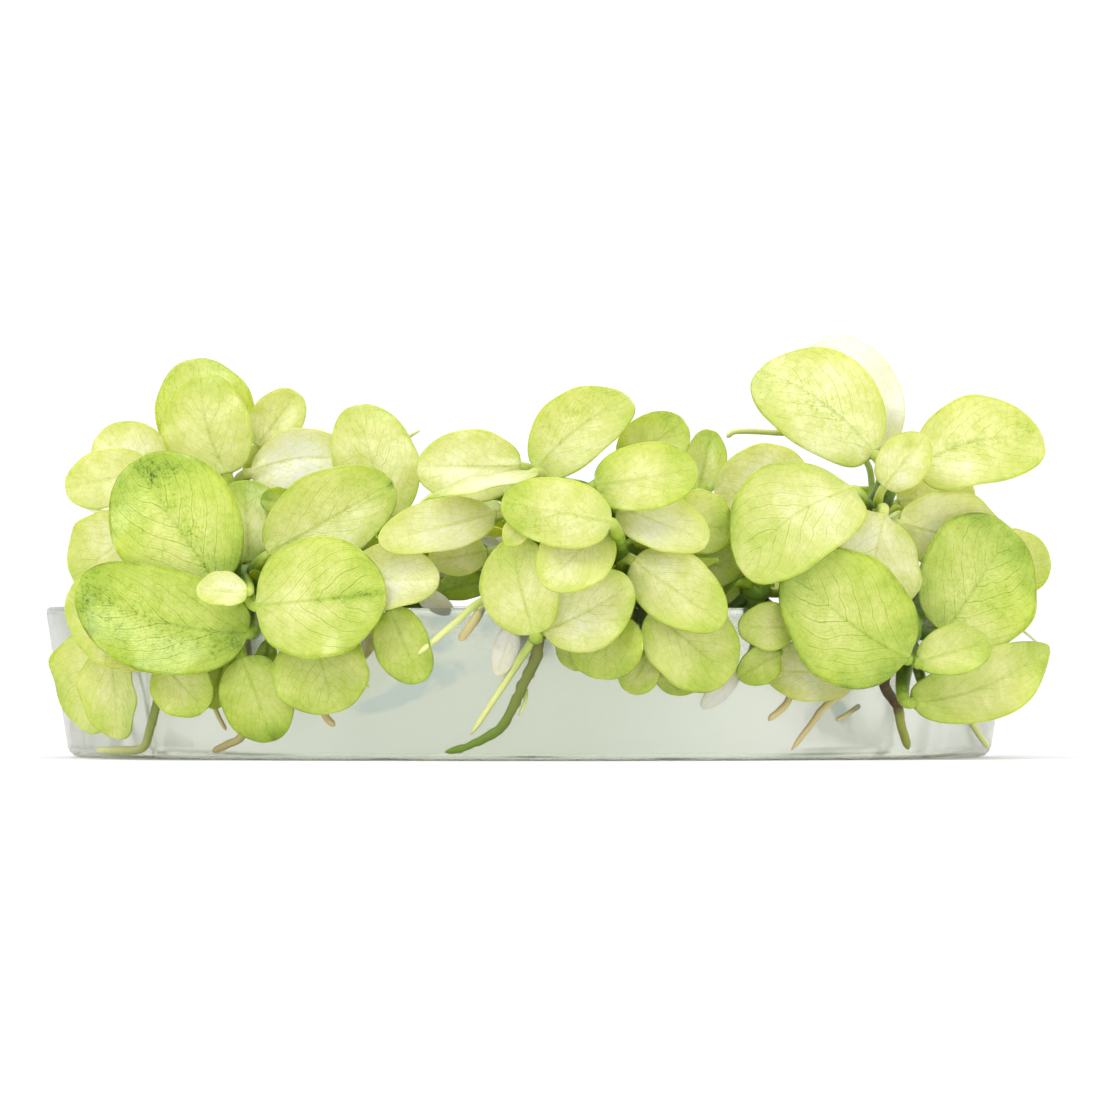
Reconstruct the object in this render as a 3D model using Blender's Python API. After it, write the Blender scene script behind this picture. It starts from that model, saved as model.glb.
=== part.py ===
"""White-leaved dwarf anubias: small plantlets rooted in one round puck of culture gel.

Metres, +Z up. The origin is the middle of the gel's flat underside, and the side
that is seen first faces -Y. Places in the tables below are in millimetres.
"""

import math
from collections import namedtuple

import bmesh
import bpy
from mathutils import Vector

MM = 0.001

# Culture gel: a puck that widens upwards, as the cup that it set in does
GEL_BASE_RADIUS = 46.6
GEL_TOP_RADIUS = 49.0
GEL_HEIGHT = 15.5
GEL_ROUNDING = 0.9
GEL_STEPS = 36

# Clearance between pieces that touch in the real plant
GAP = 0.3

# Leaves
LEAF_THICKNESS = 0.34
RIM_THICKNESS = 0.16
PETIOLE_RADIUS = 0.42
PETIOLE_BEND = 0.45
PETIOLE_SLIMNESS = 0.3
SHORT_PETIOLE = 1.2
WIDEST_AT = 0.45
BASE_FULLNESS = 0.5
TIP_FULLNESS = 0.62
TIP_DROOP = 0.6

# Shares of a leaf's length and of its petiole's length that have a ring of points
LEAF_STATIONS = (0.03, 0.2, 0.45, 0.72, 0.94)
SMALL_LEAF_STATIONS = (0.05, 0.45, 0.9)
PETIOLE_STATIONS = (0.0, 0.5)

# The points of a ring that the leaves of the plantlets at the back keep
BACK_SECTION = (0, 2, 3, 5)

# Rhizomes and roots
STEM_SIDES = 8
ROOT_SIDES = 5
STEM_STATIONS = 5
STEM_SWELL = 0.15
STEM_TIP = 0.6

# Plantlets behind the front ones: leaves at even turns round the growing point
ROSETTE_LEAVES = 7
ROSETTE_TURN = math.radians(137.5)
ROSETTE_STEM = 1.4
FOOT_HEIGHT = 12.6
ROSETTE_PETIOLE = 4.5
ROSETTE_LEAF = 11.0
ROSETTE_WIDTH = 8.4
ROSETTE_SHRINK = 0.3
ROSETTE_LOW = math.radians(10)
ROSETTE_HIGH = math.radians(62)

# Colours, and the leaves that are greener than the rest
PALE = (0.80, 0.86, 0.42)
LIME = (0.60, 0.75, 0.22)
RHIZOME_GREEN = (0.22, 0.36, 0.04)
GEL_COLOUR = (0.80, 0.84, 0.76)
GREENER_LEAVES = ("speckled", "green", "right_green", "front", "under_front", "round_low")

# A leaf: where its blade starts and ends, its width, the way its upper side faces, how
# far its midrib bows to its left, how far its rims rise over its midrib, and how high
# on its rhizome it grows. One that isn't its own piece is fused to its rhizome.
Leaf = namedtuple("Leaf", "base tip width face bow cup at own")

# A root: points along it, and its radius at its start and at its end
Root = namedtuple("Root", "points start_radius end_radius")

# A plantlet: points along its rhizome, from its foot in the gel to its growing point
Plantlet = namedtuple("Plantlet", "stem radius leaves roots")


def leaf(base, tip, width, face, bow=0.0, cup=0.8, at=0.8):
    """A leaf that is a piece of its own."""
    return Leaf(base, tip, width, face, bow, cup, at, True)


def small(base, tip, width, face, bow=0.0, cup=0.5, at=0.8):
    """A small or hidden leaf, fused to its rhizome."""
    return Leaf(base, tip, width, face, bow, cup, at, False)


def gel_radius(z):
    """The gel's radius at a height."""
    share = min(max(z / GEL_HEIGHT, 0.0), 1.0)
    return GEL_BASE_RADIUS + (GEL_TOP_RADIUS - GEL_BASE_RADIUS) * share


def wall(x, z, out=0.0):
    """A point on the front of the gel's wall, moved outwards by out."""
    radius = gel_radius(z) + out
    return (x, -math.sqrt(max(radius * radius - x * x, 0.0)), z)


def rosette(x, y, top, start):
    """A plantlet whose leaves stand at even turns, the outer ones low and the inner ones high."""
    crown = Vector((x, y, top))
    leaves = {}
    for i in range(ROSETTE_LEAVES):
        inner = i / (ROSETTE_LEAVES - 1)
        turn = start + i * ROSETTE_TURN
        rise = ROSETTE_LOW + (ROSETTE_HIGH - ROSETTE_LOW) * inner
        size = 1.0 - ROSETTE_SHRINK * inner
        level = Vector((math.cos(turn), math.sin(turn), 0.0))
        out = level * math.cos(rise) + Vector((0, 0, math.sin(rise)))
        face = level * -math.sin(rise) + Vector((0, 0, math.cos(rise)))
        base = crown + out * (ROSETTE_PETIOLE * size)
        tip = base + (out * 0.92 + level * 0.25) * (ROSETTE_LEAF * size)
        leaves[f"turn_{i}"] = small(base, tip, ROSETTE_WIDTH * size, face, at=0.55 + 0.35 * inner)
    return Plantlet(((x, y, FOOT_HEIGHT), (x, y, top)), ROSETTE_STEM, leaves, ())


PLANTLETS = {
    "left_side": Plantlet(
        stem=((-35.0, -23.0, 12.6), (-37.0, -25.2, 16.2), (-39.8, -28.0, 18.4)),
        radius=1.4,
        leaves={
            "over_rim": leaf((-41.3, -32.6, 11.5), (-41.0, -31.9, 1.9), 8.6, (-1, -1.0, 0.1), at=0.97),
            "under_rim": leaf((-42.8, -28.6, 11.8), (-46.2, -25.0, 3.4), 11.5, (-1, -0.95, 0.1), at=0.85),
            "high": leaf((-39.0, -33.0, 22.9), (-45.9, -29.5, 18.0), 8.2, (-0.4, -1, 0.2), at=0.95),
        },
        roots=(
            Root(((-35.5, -23.8, 13.4), wall(-36.6, 9.0, -1), wall(-37.1, 6.1), wall(-37.9, 3.0),
                  wall(-38.7, 1.1), wall(-41.0, 0.8), wall(-43.6, 0.8)), 0.5, 0.4),
        ),
    ),
    "left_front": Plantlet(
        stem=((-27.0, -33.0, 12.6), (-28.0, -36.0, 16.5), (-28.6, -39.4, 18.7)),
        radius=1.6,
        leaves={
            "round": leaf((-26.2, -46.3, 15.4), (-14.3, -52.0, 16.7), 12.3, (-0.35, -1, 0.1), at=0.85),
            "speckled": leaf((-31.3, -42.0, 17.6), (-40.3, -38.0, 30.1), 12.9, (-0.3, -1, 0.3), at=0.95),
            "speckled_low": leaf((-28.4, -44.9, 13.0), (-45.7, -39.6, 17.9), 10.9, (-0.2, -1, 0.15), 1.2,
                                 at=0.88),
            "low_left": small((-34.2, -41.0, 11.9), (-46.2, -35.6, 16.6), 9.4, (-0.4, -1, 0.1), 0.8, at=0.9),
            "young": small((-28.6, -45.2, 16.9), (-33.5, -46.7, 17.1), 3.3, (-0.2, -1, 0.6), at=1.0),
            "shaded": small((-28.3, -35.5, 20.0), (-29.3, -32.0, 28.1), 6.8, (0.0, -1, 0.3), at=0.8),
            "hanging": leaf((-28.9, -43.6, 10.4), (-26.0, -43.4, 1.7), 8.2, (-0.3, -1, 0.05), at=1.0),
            "hanging_left": small((-36.7, -40.0, 10.0), (-32.2, -42.0, 5.0), 6.6, (-0.5, -1, 0.0), at=0.95),
            "oval": leaf((-25.9, -40.0, 20.4), (-13.5, -39.0, 27.7), 9.3, (0.1, -1, 0.35), at=0.7),
        },
        roots=(
            Root(((-27.2, -33.8, 13.4), wall(-27.7, 8.0, -1), wall(-28.5, 2.7), wall(-30.1, 1.5),
                  wall(-31.6, 0.8)), 0.5, 0.35),
        ),
    ),
    "left_top": Plantlet(
        stem=((-26.5, -15.0, 12.6), (-27.5, -16.5, 19.0), (-28.5, -18.5, 24.5)),
        radius=1.4,
        leaves={
            "upright": leaf((-30.3, -24.0, 28.5), (-32.9, -22.0, 38.5), 9.0, (0.0, -1, 0.2), 0.7, at=0.75),
            "upright_back": leaf((-31.5, -17.0, 28.9), (-34.2, -14.0, 40.2), 9.9, (0.0, -1, 0.2), at=0.85),
            "curled": small((-27.3, -19.0, 31.3), (-23.3, -17.5, 36.6), 4.9, (0.1, -1, 0.2), at=0.9),
            "right": leaf((-27.8, -23.0, 28.6), (-18.3, -24.5, 29.8), 6.0, (0.1, -1, 0.3), 1.0, at=1.0),
            "left_up": small((-36.9, -25.0, 28.2), (-43.4, -22.0, 33.2), 7.4, (-0.2, -1, 0.2), at=0.65),
            "left_down": leaf((-37.9, -29.0, 28.8), (-46.6, -27.0, 27.2), 6.2, (-0.3, -1, 0.2), at=0.5),
        },
        roots=(),
    ),
    "left_inner": Plantlet(
        stem=((-16.5, -38.5, 12.6), (-17.5, -41.2, 16.4), (-18.5, -44.4, 18.2)),
        radius=1.4,
        leaves={
            "middle": leaf((-18.4, -48.4, 17.8), (-8.9, -50.4, 18.2), 6.9, (0.0, -1, 0.35), at=0.9),
            "pointed": leaf((-13.7, -48.9, 15.0), (-10.8, -49.3, 7.7), 5.8, (-0.25, -1, 0.0), at=0.8),
            "low": leaf((-21.8, -46.8, 12.9), (-19.8, -47.2, 4.5), 10.0, (-0.4, -1, 0.05), at=0.95),
            "tall": leaf((-14.1, -33.0, 24.0), (-17.2, -29.0, 35.6), 8.7, (0.1, -1, 0.3), at=0.75),
        },
        roots=(
            Root(((-16.8, -39.2, 13.4), wall(-19.6, 9.0, -1), wall(-20.4, 5.0), wall(-19.3, 3.3)),
                 0.45, 0.35),
        ),
    ),
    "middle_top": Plantlet(
        stem=((1.0, -33.0, 12.6), (0.8, -35.0, 19.0), (0.4, -37.0, 25.5)),
        radius=1.4,
        leaves={
            "left": leaf((-0.8, -39.5, 29.1), (-11.3, -38.0, 29.3), 7.6, (0.0, -1, 0.25), at=0.85),
            "edge_on": leaf((0.7, -45.0, 28.5), (-9.9, -47.0, 26.2), 4.6, (0.0, -0.35, 1.0), at=0.8),
            "big": leaf((0.4, -41.5, 28.7), (10.2, -38.5, 36.2), 7.9, (0.05, -1, 0.3), 0.9, at=1.0),
            "behind": small((9.3, -35.5, 29.3), (15.6, -34.5, 33.8), 6.3, (0.1, -1, 0.2), at=0.9),
            "cream": leaf((-3.6, -47.0, 24.4), (-14.8, -51.0, 21.8), 5.8, (-0.1, -1, 0.35), at=0.6),
            "under_cream": small((-4.3, -45.5, 20.7), (-9.9, -47.0, 19.9), 4.4, (0.0, -1, 0.2), at=0.4),
            "dark": small((-4.0, -44.0, 17.8), (-9.2, -45.0, 16.8), 3.2, (0.0, -1, 0.2), at=0.3),
        },
        roots=(),
    ),
    "middle_front": Plantlet(
        stem=((9.0, -42.5, 12.6), (9.5, -44.5, 18.0), (9.2, -46.5, 23.5)),
        radius=1.4,
        leaves={
            "front": leaf((8.1, -54.0, 23.6), (-2.7, -55.0, 25.7), 7.0, (0.0, -1, 0.1), at=0.72),
            "under_front": leaf((7.2, -50.5, 23.2), (1.6, -53.8, 17.5), 7.3, (-0.1, -1, 0.0), at=0.9),
            "top_right": leaf((6.6, -51.2, 27.2), (16.8, -50.5, 29.0), 7.0, (0.0, -1, 0.2), at=1.0),
            "pale": leaf((9.5, -47.9, 24.9), (17.8, -50.2, 21.9), 5.8, (0.0, -1, 0.2)),
            "green": leaf((11.2, -49.0, 19.7), (19.4, -50.5, 13.6), 7.2, (0.15, -1, 0.1), at=0.45),
            "right_up": small((14.1, -45.0, 23.9), (20.3, -44.5, 22.9), 6.8, (0.1, -1, 0.2), at=0.7),
            "right_low": small((15.0, -43.0, 20.4), (21.1, -43.5, 18.8), 5.2, (0.0, -1, 0.2), at=0.55),
            "folded": small((16.9, -36.0, 26.4), (18.2, -33.0, 33.0), 4.2, (0.2, -1, 0.2), at=0.9),
        },
        roots=(),
    ),
    "middle_low": Plantlet(
        stem=((0.7, -43.0, 12.8), (0.7, -46.5, 17.1), (0.7, -49.8, 16.6), (0.7, -50.8, 12.4)),
        radius=0.95,
        leaves={
            "left": leaf((0.2, -52.7, 12.9), (-2.2, -53.2, 22.6), 7.8, (-0.1, -1, 0.0), 0.3, at=1.0),
            "right": leaf((1.3, -52.0, 12.9), (10.2, -51.0, 17.7), 7.8, (0.1, -1, 0.05), -0.4, at=1.0),
        },
        roots=(
            Root(((0.5, -50.6, 13.9), (0.4, -50.4, 12.2), wall(-1.3, 9.4, 0.5), wall(-2.9, 6.9, 0.3),
                  wall(-5.8, 2.5)), 0.5, 0.3),
            Root(((0.9, -50.4, 13.9), wall(0.8, 10.8, 0.9), wall(-0.6, 7.4, 0.4), wall(-2.7, 3.4, 0.2),
                  wall(-5.9, 1.5, 0.1), wall(-8.4, 0.8, 0.1)), 0.62, 0.35),
            Root(((0.7, -48.6, 17.3), (-4.5, -50.9, 15.9), (-7.2, -51.0, 13.9), (-10.4, -50.6, 11.7)),
                 0.42, 0.3),
        ),
    ),
    "middle_right": Plantlet(
        stem=((12.0, -43.0, 12.8), (12.2, -45.4, 16.3), (12.5, -48.2, 18.0)),
        radius=1.2,
        leaves={
            "left": leaf((7.7, -50.7, 14.7), (7.5, -50.5, 8.0), 7.8, (-0.12, -1, 0.0), at=1.0),
            "left_under": small((6.1, -49.2, 13.4), (3.9, -49.2, 9.1), 4.8, (-0.1, -1, 0.0), at=0.85),
            "right": leaf((12.2, -49.7, 15.3), (20.2, -47.7, 8.7), 8.8, (0.38, -1, 0.0), at=0.95),
            "under": small((11.9, -48.9, 10.7), (9.9, -48.9, 6.7), 4.2, (0.0, -1, 0.0), at=0.98),
            "lowest": small((15.1, -46.9, 9.9), (14.7, -46.9, 6.4), 5.0, (0.3, -1, 0.0), at=0.9),
        },
        roots=(),
    ),
    "right_inner": Plantlet(
        stem=((22.0, -37.5, 12.6), (22.4, -40.2, 16.4), (22.8, -43.2, 18.2)),
        radius=1.3,
        leaves={
            "side": small((21.0, -44.9, 14.3), (26.3, -42.3, 12.8), 4.7, (0.35, -1, 0.1), cup=0.4, at=0.85),
            "olive": small((24.4, -46.8, 11.5), (21.2, -47.2, 8.6), 3.2, (0.4, -1, 0.0), at=1.0),
        },
        roots=(
            Root(((22.2, -36.6, 13.4), wall(26.0, 9.0, -1), wall(25.8, 5.9), wall(23.8, 3.9)), 0.4, 0.35),
        ),
    ),
    "right_top": Plantlet(
        stem=((33.5, -24.0, 12.6), (34.2, -26.5, 19.0), (34.6, -29.0, 24.8)),
        radius=1.7,
        leaves={
            "speckled": leaf((34.6, -27.5, 30.6), (22.9, -22.5, 39.7), 11.4, (-0.1, -1, 0.35), -1.7, at=0.98),
            "white": leaf((35.0, -22.5, 30.7), (29.3, -17.5, 42.4), 9.2, (0.0, -1, 0.3), at=0.85),
            "right": leaf((38.9, -27.0, 29.1), (51.8, -22.0, 32.1), 9.5, (0.1, -1, 0.3), 1.4, at=0.92),
            "young": small((36.2, -31.0, 28.4), (39.8, -31.5, 32.2), 4.4, (0.2, -1, 0.2), at=0.95),
            "behind": small((37.0, -20.5, 25.6), (44.9, -18.0, 26.9), 5.4, (0.0, -1, 0.3), at=0.7),
            "left_front": leaf((33.1, -36.0, 26.5), (21.5, -47.5, 18.6), 10.6, (0.0, -1, 0.2), -1.6, at=0.95),
            "left_back": leaf((28.3, -32.0, 27.3), (18.6, -35.0, 26.5), 9.6, (-0.1, -1, 0.2), at=0.85),
            "down": leaf((35.2, -33.5, 24.3), (33.4, -38.3, 14.5), 10.0, (0.6, -1, 0.0), at=0.8),
            "right_down": leaf((37.0, -30.0, 23.5), (47.9, -23.0, 21.1), 8.9, (0.3, -1, 0.2), at=0.7),
        },
        roots=(
            Root(((33.6, -24.8, 13.4), wall(33.0, 9.5, -2), wall(31.9, 7.2), wall(29.4, 5.2),
                  wall(28.4, 3.9), wall(26.1, 0.9)), 0.45, 0.3),
            Root(((34.3, -27.0, 22.5), (31.0, -20.0, 30.5), (24.5, -18.0, 32.7), (20.9, -18.0, 32.8),
                  (19.8, -18.0, 32.2)), 0.35, 0.25),
        ),
    ),
    "right_low": Plantlet(
        stem=((39.0, -24.0, 12.8), (40.0, -27.0, 17.0), (39.6, -31.2, 16.4), (37.9, -35.0, 10.5)),
        radius=1.1,
        leaves={
            "round_low": leaf((36.9, -38.6, 9.4), (25.6, -42.4, 19.3), 13.2, (0.5, -1, 0.1), 0.8, at=0.95),
            "long": leaf((38.3, -36.5, 5.7), (52.2, -24.0, 11.2), 7.0, (0.6, -1, 0.2), -1.2, at=0.9),
            "yellow": leaf((39.7, -38.2, 9.8), (46.2, -32.8, 12.0), 4.6, (0.4, -1, 0.5), at=0.9),
            "right_green": leaf((42.3, -32.0, 12.9), (49.0, -25.0, 23.0), 12.2, (0.5, -1, 0.1), -0.2, at=0.4),
            "far_right": small((45.5, -19.5, 18.4), (52.7, -16.5, 19.4), 6.8, (0.2, -1, 0.1), at=0.3),
            "lowest": small((42.1, -30.0, 4.8), (49.1, -22.0, 6.1), 2.8, (0.8, -1, -0.2), at=0.8),
            "under_round": leaf((32.1, -38.2, 8.7), (23.6, -42.8, 9.0), 6.4, (0.6, -1, 0.05), at=0.85),
        },
        roots=(
            Root(((38.0, -34.4, 12.0), wall(35.5, 7.9, 0.9), wall(36.8, 5.4, 0.4), wall(37.2, 3.5, 0.1),
                  wall(38.0, 0.9, 0.1)), 0.6, 0.45),
            Root(((39.2, -24.6, 13.6), wall(42.0, 9.0, -1), wall(44.4, 3.7, 0.3), wall(46.4, 0.8, 1.0)),
                 0.4, 0.3),
        ),
    ),
    "back_side_left": rosette(-33.0, 7.0, 18.5, 2.2),
    "back_left": rosette(-17.0, 31.0, 18.5, 0.4),
    "back_right": rosette(17.5, 31.5, 18.5, 1.3),
    "back_side_right": rosette(33.0, 8.0, 18.5, 3.0),
    "centre": rosette(0.0, 12.0, 18.5, 0.4),
    "centre_left": rosette(-12.0, -8.0, 18.5, 4.1),
    "centre_right": rosette(12.0, -8.0, 18.5, 5.3),
}

BACK_PLANTLETS = ("back_side_left", "back_left", "back_right", "back_side_right", "centre",
                  "centre_left", "centre_right")


def scaled(point):
    """A place in millimetres as a vector in metres."""
    return Vector(point) * MM


def smooth_path(points, count):
    """Evenly spread points on a smooth curve through the given ones."""
    places = [Vector(p) for p in points]
    places = [places[0] * 2 - places[1]] + places + [places[-1] * 2 - places[-2]]
    spans = len(points) - 1
    path = []
    for i in range(count):
        where = spans * i / (count - 1)
        k = min(int(where), spans - 1)
        t = where - k
        a, b, c, d = places[k:k + 4]
        path.append(0.5 * (b * 2 + (c - a) * t + (a * 2 - b * 5 + c * 4 - d) * t * t
                           + (b * 3 - a - c * 3 + d) * t ** 3))
    return path


def tube_rings(path, radii, sides):
    """Rings of points round a path, turned as little as possible from one to the next."""
    rings = []
    left = None
    for i, centre in enumerate(path):
        ahead = (path[min(i + 1, len(path) - 1)] - path[max(i - 1, 0)]).normalized()
        if left is None:
            left = ahead.orthogonal().normalized()
        left = (left - ahead * left.dot(ahead)).normalized()
        up = ahead.cross(left)
        turns = [2 * math.pi * k / sides for k in range(sides)]
        rings.append([centre + (left * math.cos(a) + up * math.sin(a)) * radii[i] for a in turns])
    return rings


def mesh_from_rings(name, rings):
    """A closed mesh, in metres, that runs through rings of as many points each."""
    bm = bmesh.new()
    rows = [[bm.verts.new(scaled(p)) for p in ring] for ring in rings]
    sides = len(rows[0])
    for row, following in zip(rows, rows[1:]):
        for k in range(sides):
            n = (k + 1) % sides
            bm.faces.new((row[k], row[n], following[n], following[k]))
    bm.faces.new(rows[0][::-1])
    bm.faces.new(rows[-1])
    bmesh.ops.recalc_face_normals(bm, faces=bm.faces)
    mesh = bpy.data.meshes.new(name)
    bm.to_mesh(mesh)
    bm.free()
    return mesh


def new_object(name, mesh):
    """A mesh as an object in the scene."""
    obj = bpy.data.objects.new(name, mesh)
    bpy.context.scene.collection.objects.link(obj)
    return obj


def boolean(target, tools, operation):
    """Joins the tools to the target, or cuts them from it, and removes them."""
    for tool in tools:
        modifier = target.modifiers.new("shape", "BOOLEAN")
        modifier.operation = operation
        modifier.object = tool
        bpy.context.view_layer.update()
        shaped = target.evaluated_get(bpy.context.evaluated_depsgraph_get())
        mesh = bpy.data.meshes.new_from_object(shaped)
        target.modifiers.clear()
        target.data = mesh
        bpy.data.objects.remove(tool)


def material(name, colour, roughness, transmission=0.0):
    """A plain finish."""
    finish = bpy.data.materials.new(name)
    finish.use_nodes = True
    shader = finish.node_tree.nodes["Principled BSDF"]
    shader.inputs["Base Color"].default_value = (*colour, 1.0)
    shader.inputs["Roughness"].default_value = roughness
    shader.inputs["Transmission Weight"].default_value = transmission
    finish.diffuse_color = (*colour, 1.0)
    return finish


def leaf_frame(spec):
    """(along, side, normal) of a leaf: unit vectors to its tip, to its left and up from it."""
    along = (Vector(spec.tip) - Vector(spec.base)).normalized()
    side = Vector(spec.face).cross(along).normalized()
    return along, side, along.cross(side)


def half_width(spec, t):
    """Half the blade's width at a share t of its length."""
    u = t ** (math.log(0.5) / math.log(WIDEST_AT))
    fullness = BASE_FULLNESS if u < 0.5 else TIP_FULLNESS
    return 0.5 * spec.width * math.sin(math.pi * min(u, 0.999)) ** fullness


def blade_point(spec, t, s):
    """A point of the blade's middle layer, at t along it and s across it, from -1 to 1."""
    along, side, normal = leaf_frame(spec)
    length = (Vector(spec.tip) - Vector(spec.base)).length
    across = spec.bow * 4 * t * (1 - t) + s * half_width(spec, t)
    rise = spec.cup * (s * s * math.sin(math.pi * t) - TIP_DROOP * t * t)
    return Vector(spec.base) + along * (length * t) + side * across + normal * rise


def blade_ring(spec, t):
    """Six points round the blade at t, from its left rim over its upper side."""
    normal = leaf_frame(spec)[2]
    ring = [blade_point(spec, t, -1.0) + normal * (RIM_THICKNESS / 2)]
    ring += [blade_point(spec, t, s) + normal * (LEAF_THICKNESS / 2) for s in (-0.4, 0.4)]
    ring += [blade_point(spec, t, 1.0) - normal * (RIM_THICKNESS / 2)]
    ring += [blade_point(spec, t, s) - normal * (LEAF_THICKNESS / 2) for s in (0.4, -0.4)]
    return ring


def petiole_ring(spec, start, t):
    """Six points round the petiole, which curves from start into the blade's base."""
    along, side, _ = leaf_frame(spec)
    base = Vector(spec.base)
    control = base - along * (PETIOLE_BEND * (base - start).length)
    centre = start * (1 - t) ** 2 + control * (2 * t * (1 - t)) + base * (t * t)
    ahead = ((control - start) * (1 - t) + (base - control) * t).normalized()
    left = along.rotation_difference(ahead) @ side
    up = ahead.cross(left)
    radius = min(PETIOLE_RADIUS, PETIOLE_SLIMNESS * (base - start).length)
    turns = [math.pi - k * math.pi / 3 for k in range(6)]
    return [centre + (left * math.cos(a) + up * math.sin(a)) * radius for a in turns]


def petiole_start(spec, stem, radius):
    """Where the petiole leaves the rhizome: clear of it, or inside it for a fused leaf."""
    where = spec.at * (len(stem) - 1)
    k = min(int(where), len(stem) - 2)
    centre = stem[k].lerp(stem[k + 1], where - k)
    axis = (stem[k + 1] - stem[k]).normalized()
    towards = Vector(spec.base) - centre
    out = (towards - axis * towards.dot(axis) * 0.9).normalized()
    return centre + out * (radius * 1.15 + GAP + PETIOLE_RADIUS if spec.own else 0.2 * radius)


def leaf_mesh(name, spec, stem, radius):
    """The closed mesh of one leaf, from its petiole's foot to its tip."""
    start = petiole_start(spec, stem, radius)
    stations = LEAF_STATIONS if spec.own else SMALL_LEAF_STATIONS
    short = (Vector(spec.base) - start).length < SHORT_PETIOLE
    rings = [petiole_ring(spec, start, t) for t in PETIOLE_STATIONS[:1 if short else 2]]
    rings += [blade_ring(spec, t) for t in stations]
    if name in BACK_PLANTLETS:
        rings = rings[:1] + rings[-len(stations):]
        rings = [[ring[k] for k in BACK_SECTION] for ring in rings]
    return mesh_from_rings(name, rings)


def stem_path(plantlet):
    """Points along a rhizome."""
    return smooth_path(plantlet.stem, STEM_STATIONS)


def stem_radii(radius, extra=0.0):
    """The rhizome's radius along it: swollen in the middle and narrow at its growing point."""
    shares = [i / (STEM_STATIONS - 1) for i in range(STEM_STATIONS)]
    swell = [1 + STEM_SWELL * math.sin(math.pi * t) for t in shares]
    swell[-1] = STEM_TIP
    return [radius * s + extra for s in swell]


def lengthened(path, extra):
    """A path made longer by extra at both ends."""
    first = path[0] + (path[0] - path[1]).normalized() * extra
    last = path[-1] + (path[-1] - path[-2]).normalized() * extra
    return [first] + path[1:-1] + [last]


def root_rings(root, extra=0.0):
    """Rings along a root, which thins towards its tip."""
    path = lengthened([Vector(p) for p in root.points], extra)
    span = (root.end_radius - root.start_radius) / (len(path) - 1)
    radii = [root.start_radius + span * i + extra for i in range(len(path))]
    return tube_rings(path, radii, ROOT_SIDES)


def build_plantlet(name, plantlet, finishes):
    """The rhizome with its roots and small leaves as one piece, and each other leaf."""
    stem = stem_path(plantlet)
    rings = tube_rings(stem, stem_radii(plantlet.radius), STEM_SIDES)
    body = new_object(f"rhizome_{name}", mesh_from_rings(name, rings))
    grown = []
    for spec in plantlet.leaves.values():
        if not spec.own:
            grown.append(new_object("small leaf", leaf_mesh(name, spec, stem, plantlet.radius)))
    for root in plantlet.roots:
        grown.append(new_object("root", mesh_from_rings(name, root_rings(root))))
    boolean(body, grown, "UNION")
    body.data.materials.append(finishes["rhizome"])
    for key, spec in plantlet.leaves.items():
        if spec.own:
            node = f"leaf_{name}_{key}"
            blade = new_object(node, leaf_mesh(node, spec, stem, plantlet.radius))
            tone = "lime leaf" if key in GREENER_LEAVES else "pale leaf"
            blade.data.materials.append(finishes[tone])


def build_gel(finish):
    """The gel puck: its outline turned about Z, with a hollow round each foot and root."""
    rounding = GEL_ROUNDING
    outline = [(0.0, 0.0), (GEL_BASE_RADIUS - rounding, 0.0), (gel_radius(rounding), rounding),
               (gel_radius(GEL_HEIGHT - rounding), GEL_HEIGHT - rounding),
               (GEL_TOP_RADIUS - rounding, GEL_HEIGHT), (0.0, GEL_HEIGHT)]
    bm = bmesh.new()
    corners = [bm.verts.new(scaled((x, 0.0, z))) for x, z in outline]
    edges = [bm.edges.new(pair) for pair in zip(corners, corners[1:])]
    bmesh.ops.spin(bm, geom=corners + edges, cent=(0, 0, 0), axis=(0, 0, 1),
                   angle=2 * math.pi, steps=GEL_STEPS)
    bmesh.ops.remove_doubles(bm, verts=bm.verts, dist=1e-6)
    bmesh.ops.recalc_face_normals(bm, faces=bm.faces)
    mesh = bpy.data.meshes.new("gel")
    bm.to_mesh(mesh)
    bm.free()
    gel = new_object("gel", mesh)
    hollows = []
    for name, plantlet in PLANTLETS.items():
        foot = lengthened(stem_path(plantlet), GAP)
        rings = tube_rings(foot, stem_radii(plantlet.radius, GAP), STEM_SIDES)
        inside = [i for i, place in enumerate(foot) if place.z < GEL_HEIGHT + plantlet.radius]
        rings = rings[:inside[-1] + 2]
        if name in BACK_PLANTLETS:
            rings = [rings[0], rings[-1]]
        hollows.append(new_object("foot hollow", mesh_from_rings("hollow", rings)))
        for root in plantlet.roots:
            hollows.append(new_object("root hollow", mesh_from_rings("hollow", root_rings(root, GAP))))
    boolean(gel, hollows, "DIFFERENCE")
    gel.data.materials.append(finish)


def main():
    for obj in list(bpy.data.objects):
        bpy.data.objects.remove(obj)
    finishes = {
        "rhizome": material("rhizome", RHIZOME_GREEN, 0.5),
        "pale leaf": material("pale leaf", PALE, 0.4),
        "lime leaf": material("lime leaf", LIME, 0.4),
        "gel": material("gel", GEL_COLOUR, 0.1, 0.8),
    }
    build_gel(finishes["gel"])
    for name, plantlet in PLANTLETS.items():
        build_plantlet(name, plantlet, finishes)


main()
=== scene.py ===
"""White-leaved dwarf anubias: the look of its plantlets and of the gel that they stand in.

Places and sizes in the tables are in millimetres, as in the model's source, and become
metres on the meshes. The side that is seen first faces -Y.
"""

import logging
import math
import random
from dataclasses import dataclass, field
from enum import Enum
from typing import Optional

import bpy
import numpy as np
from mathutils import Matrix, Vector, noise
from mathutils.bvhtree import BVHTree


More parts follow.
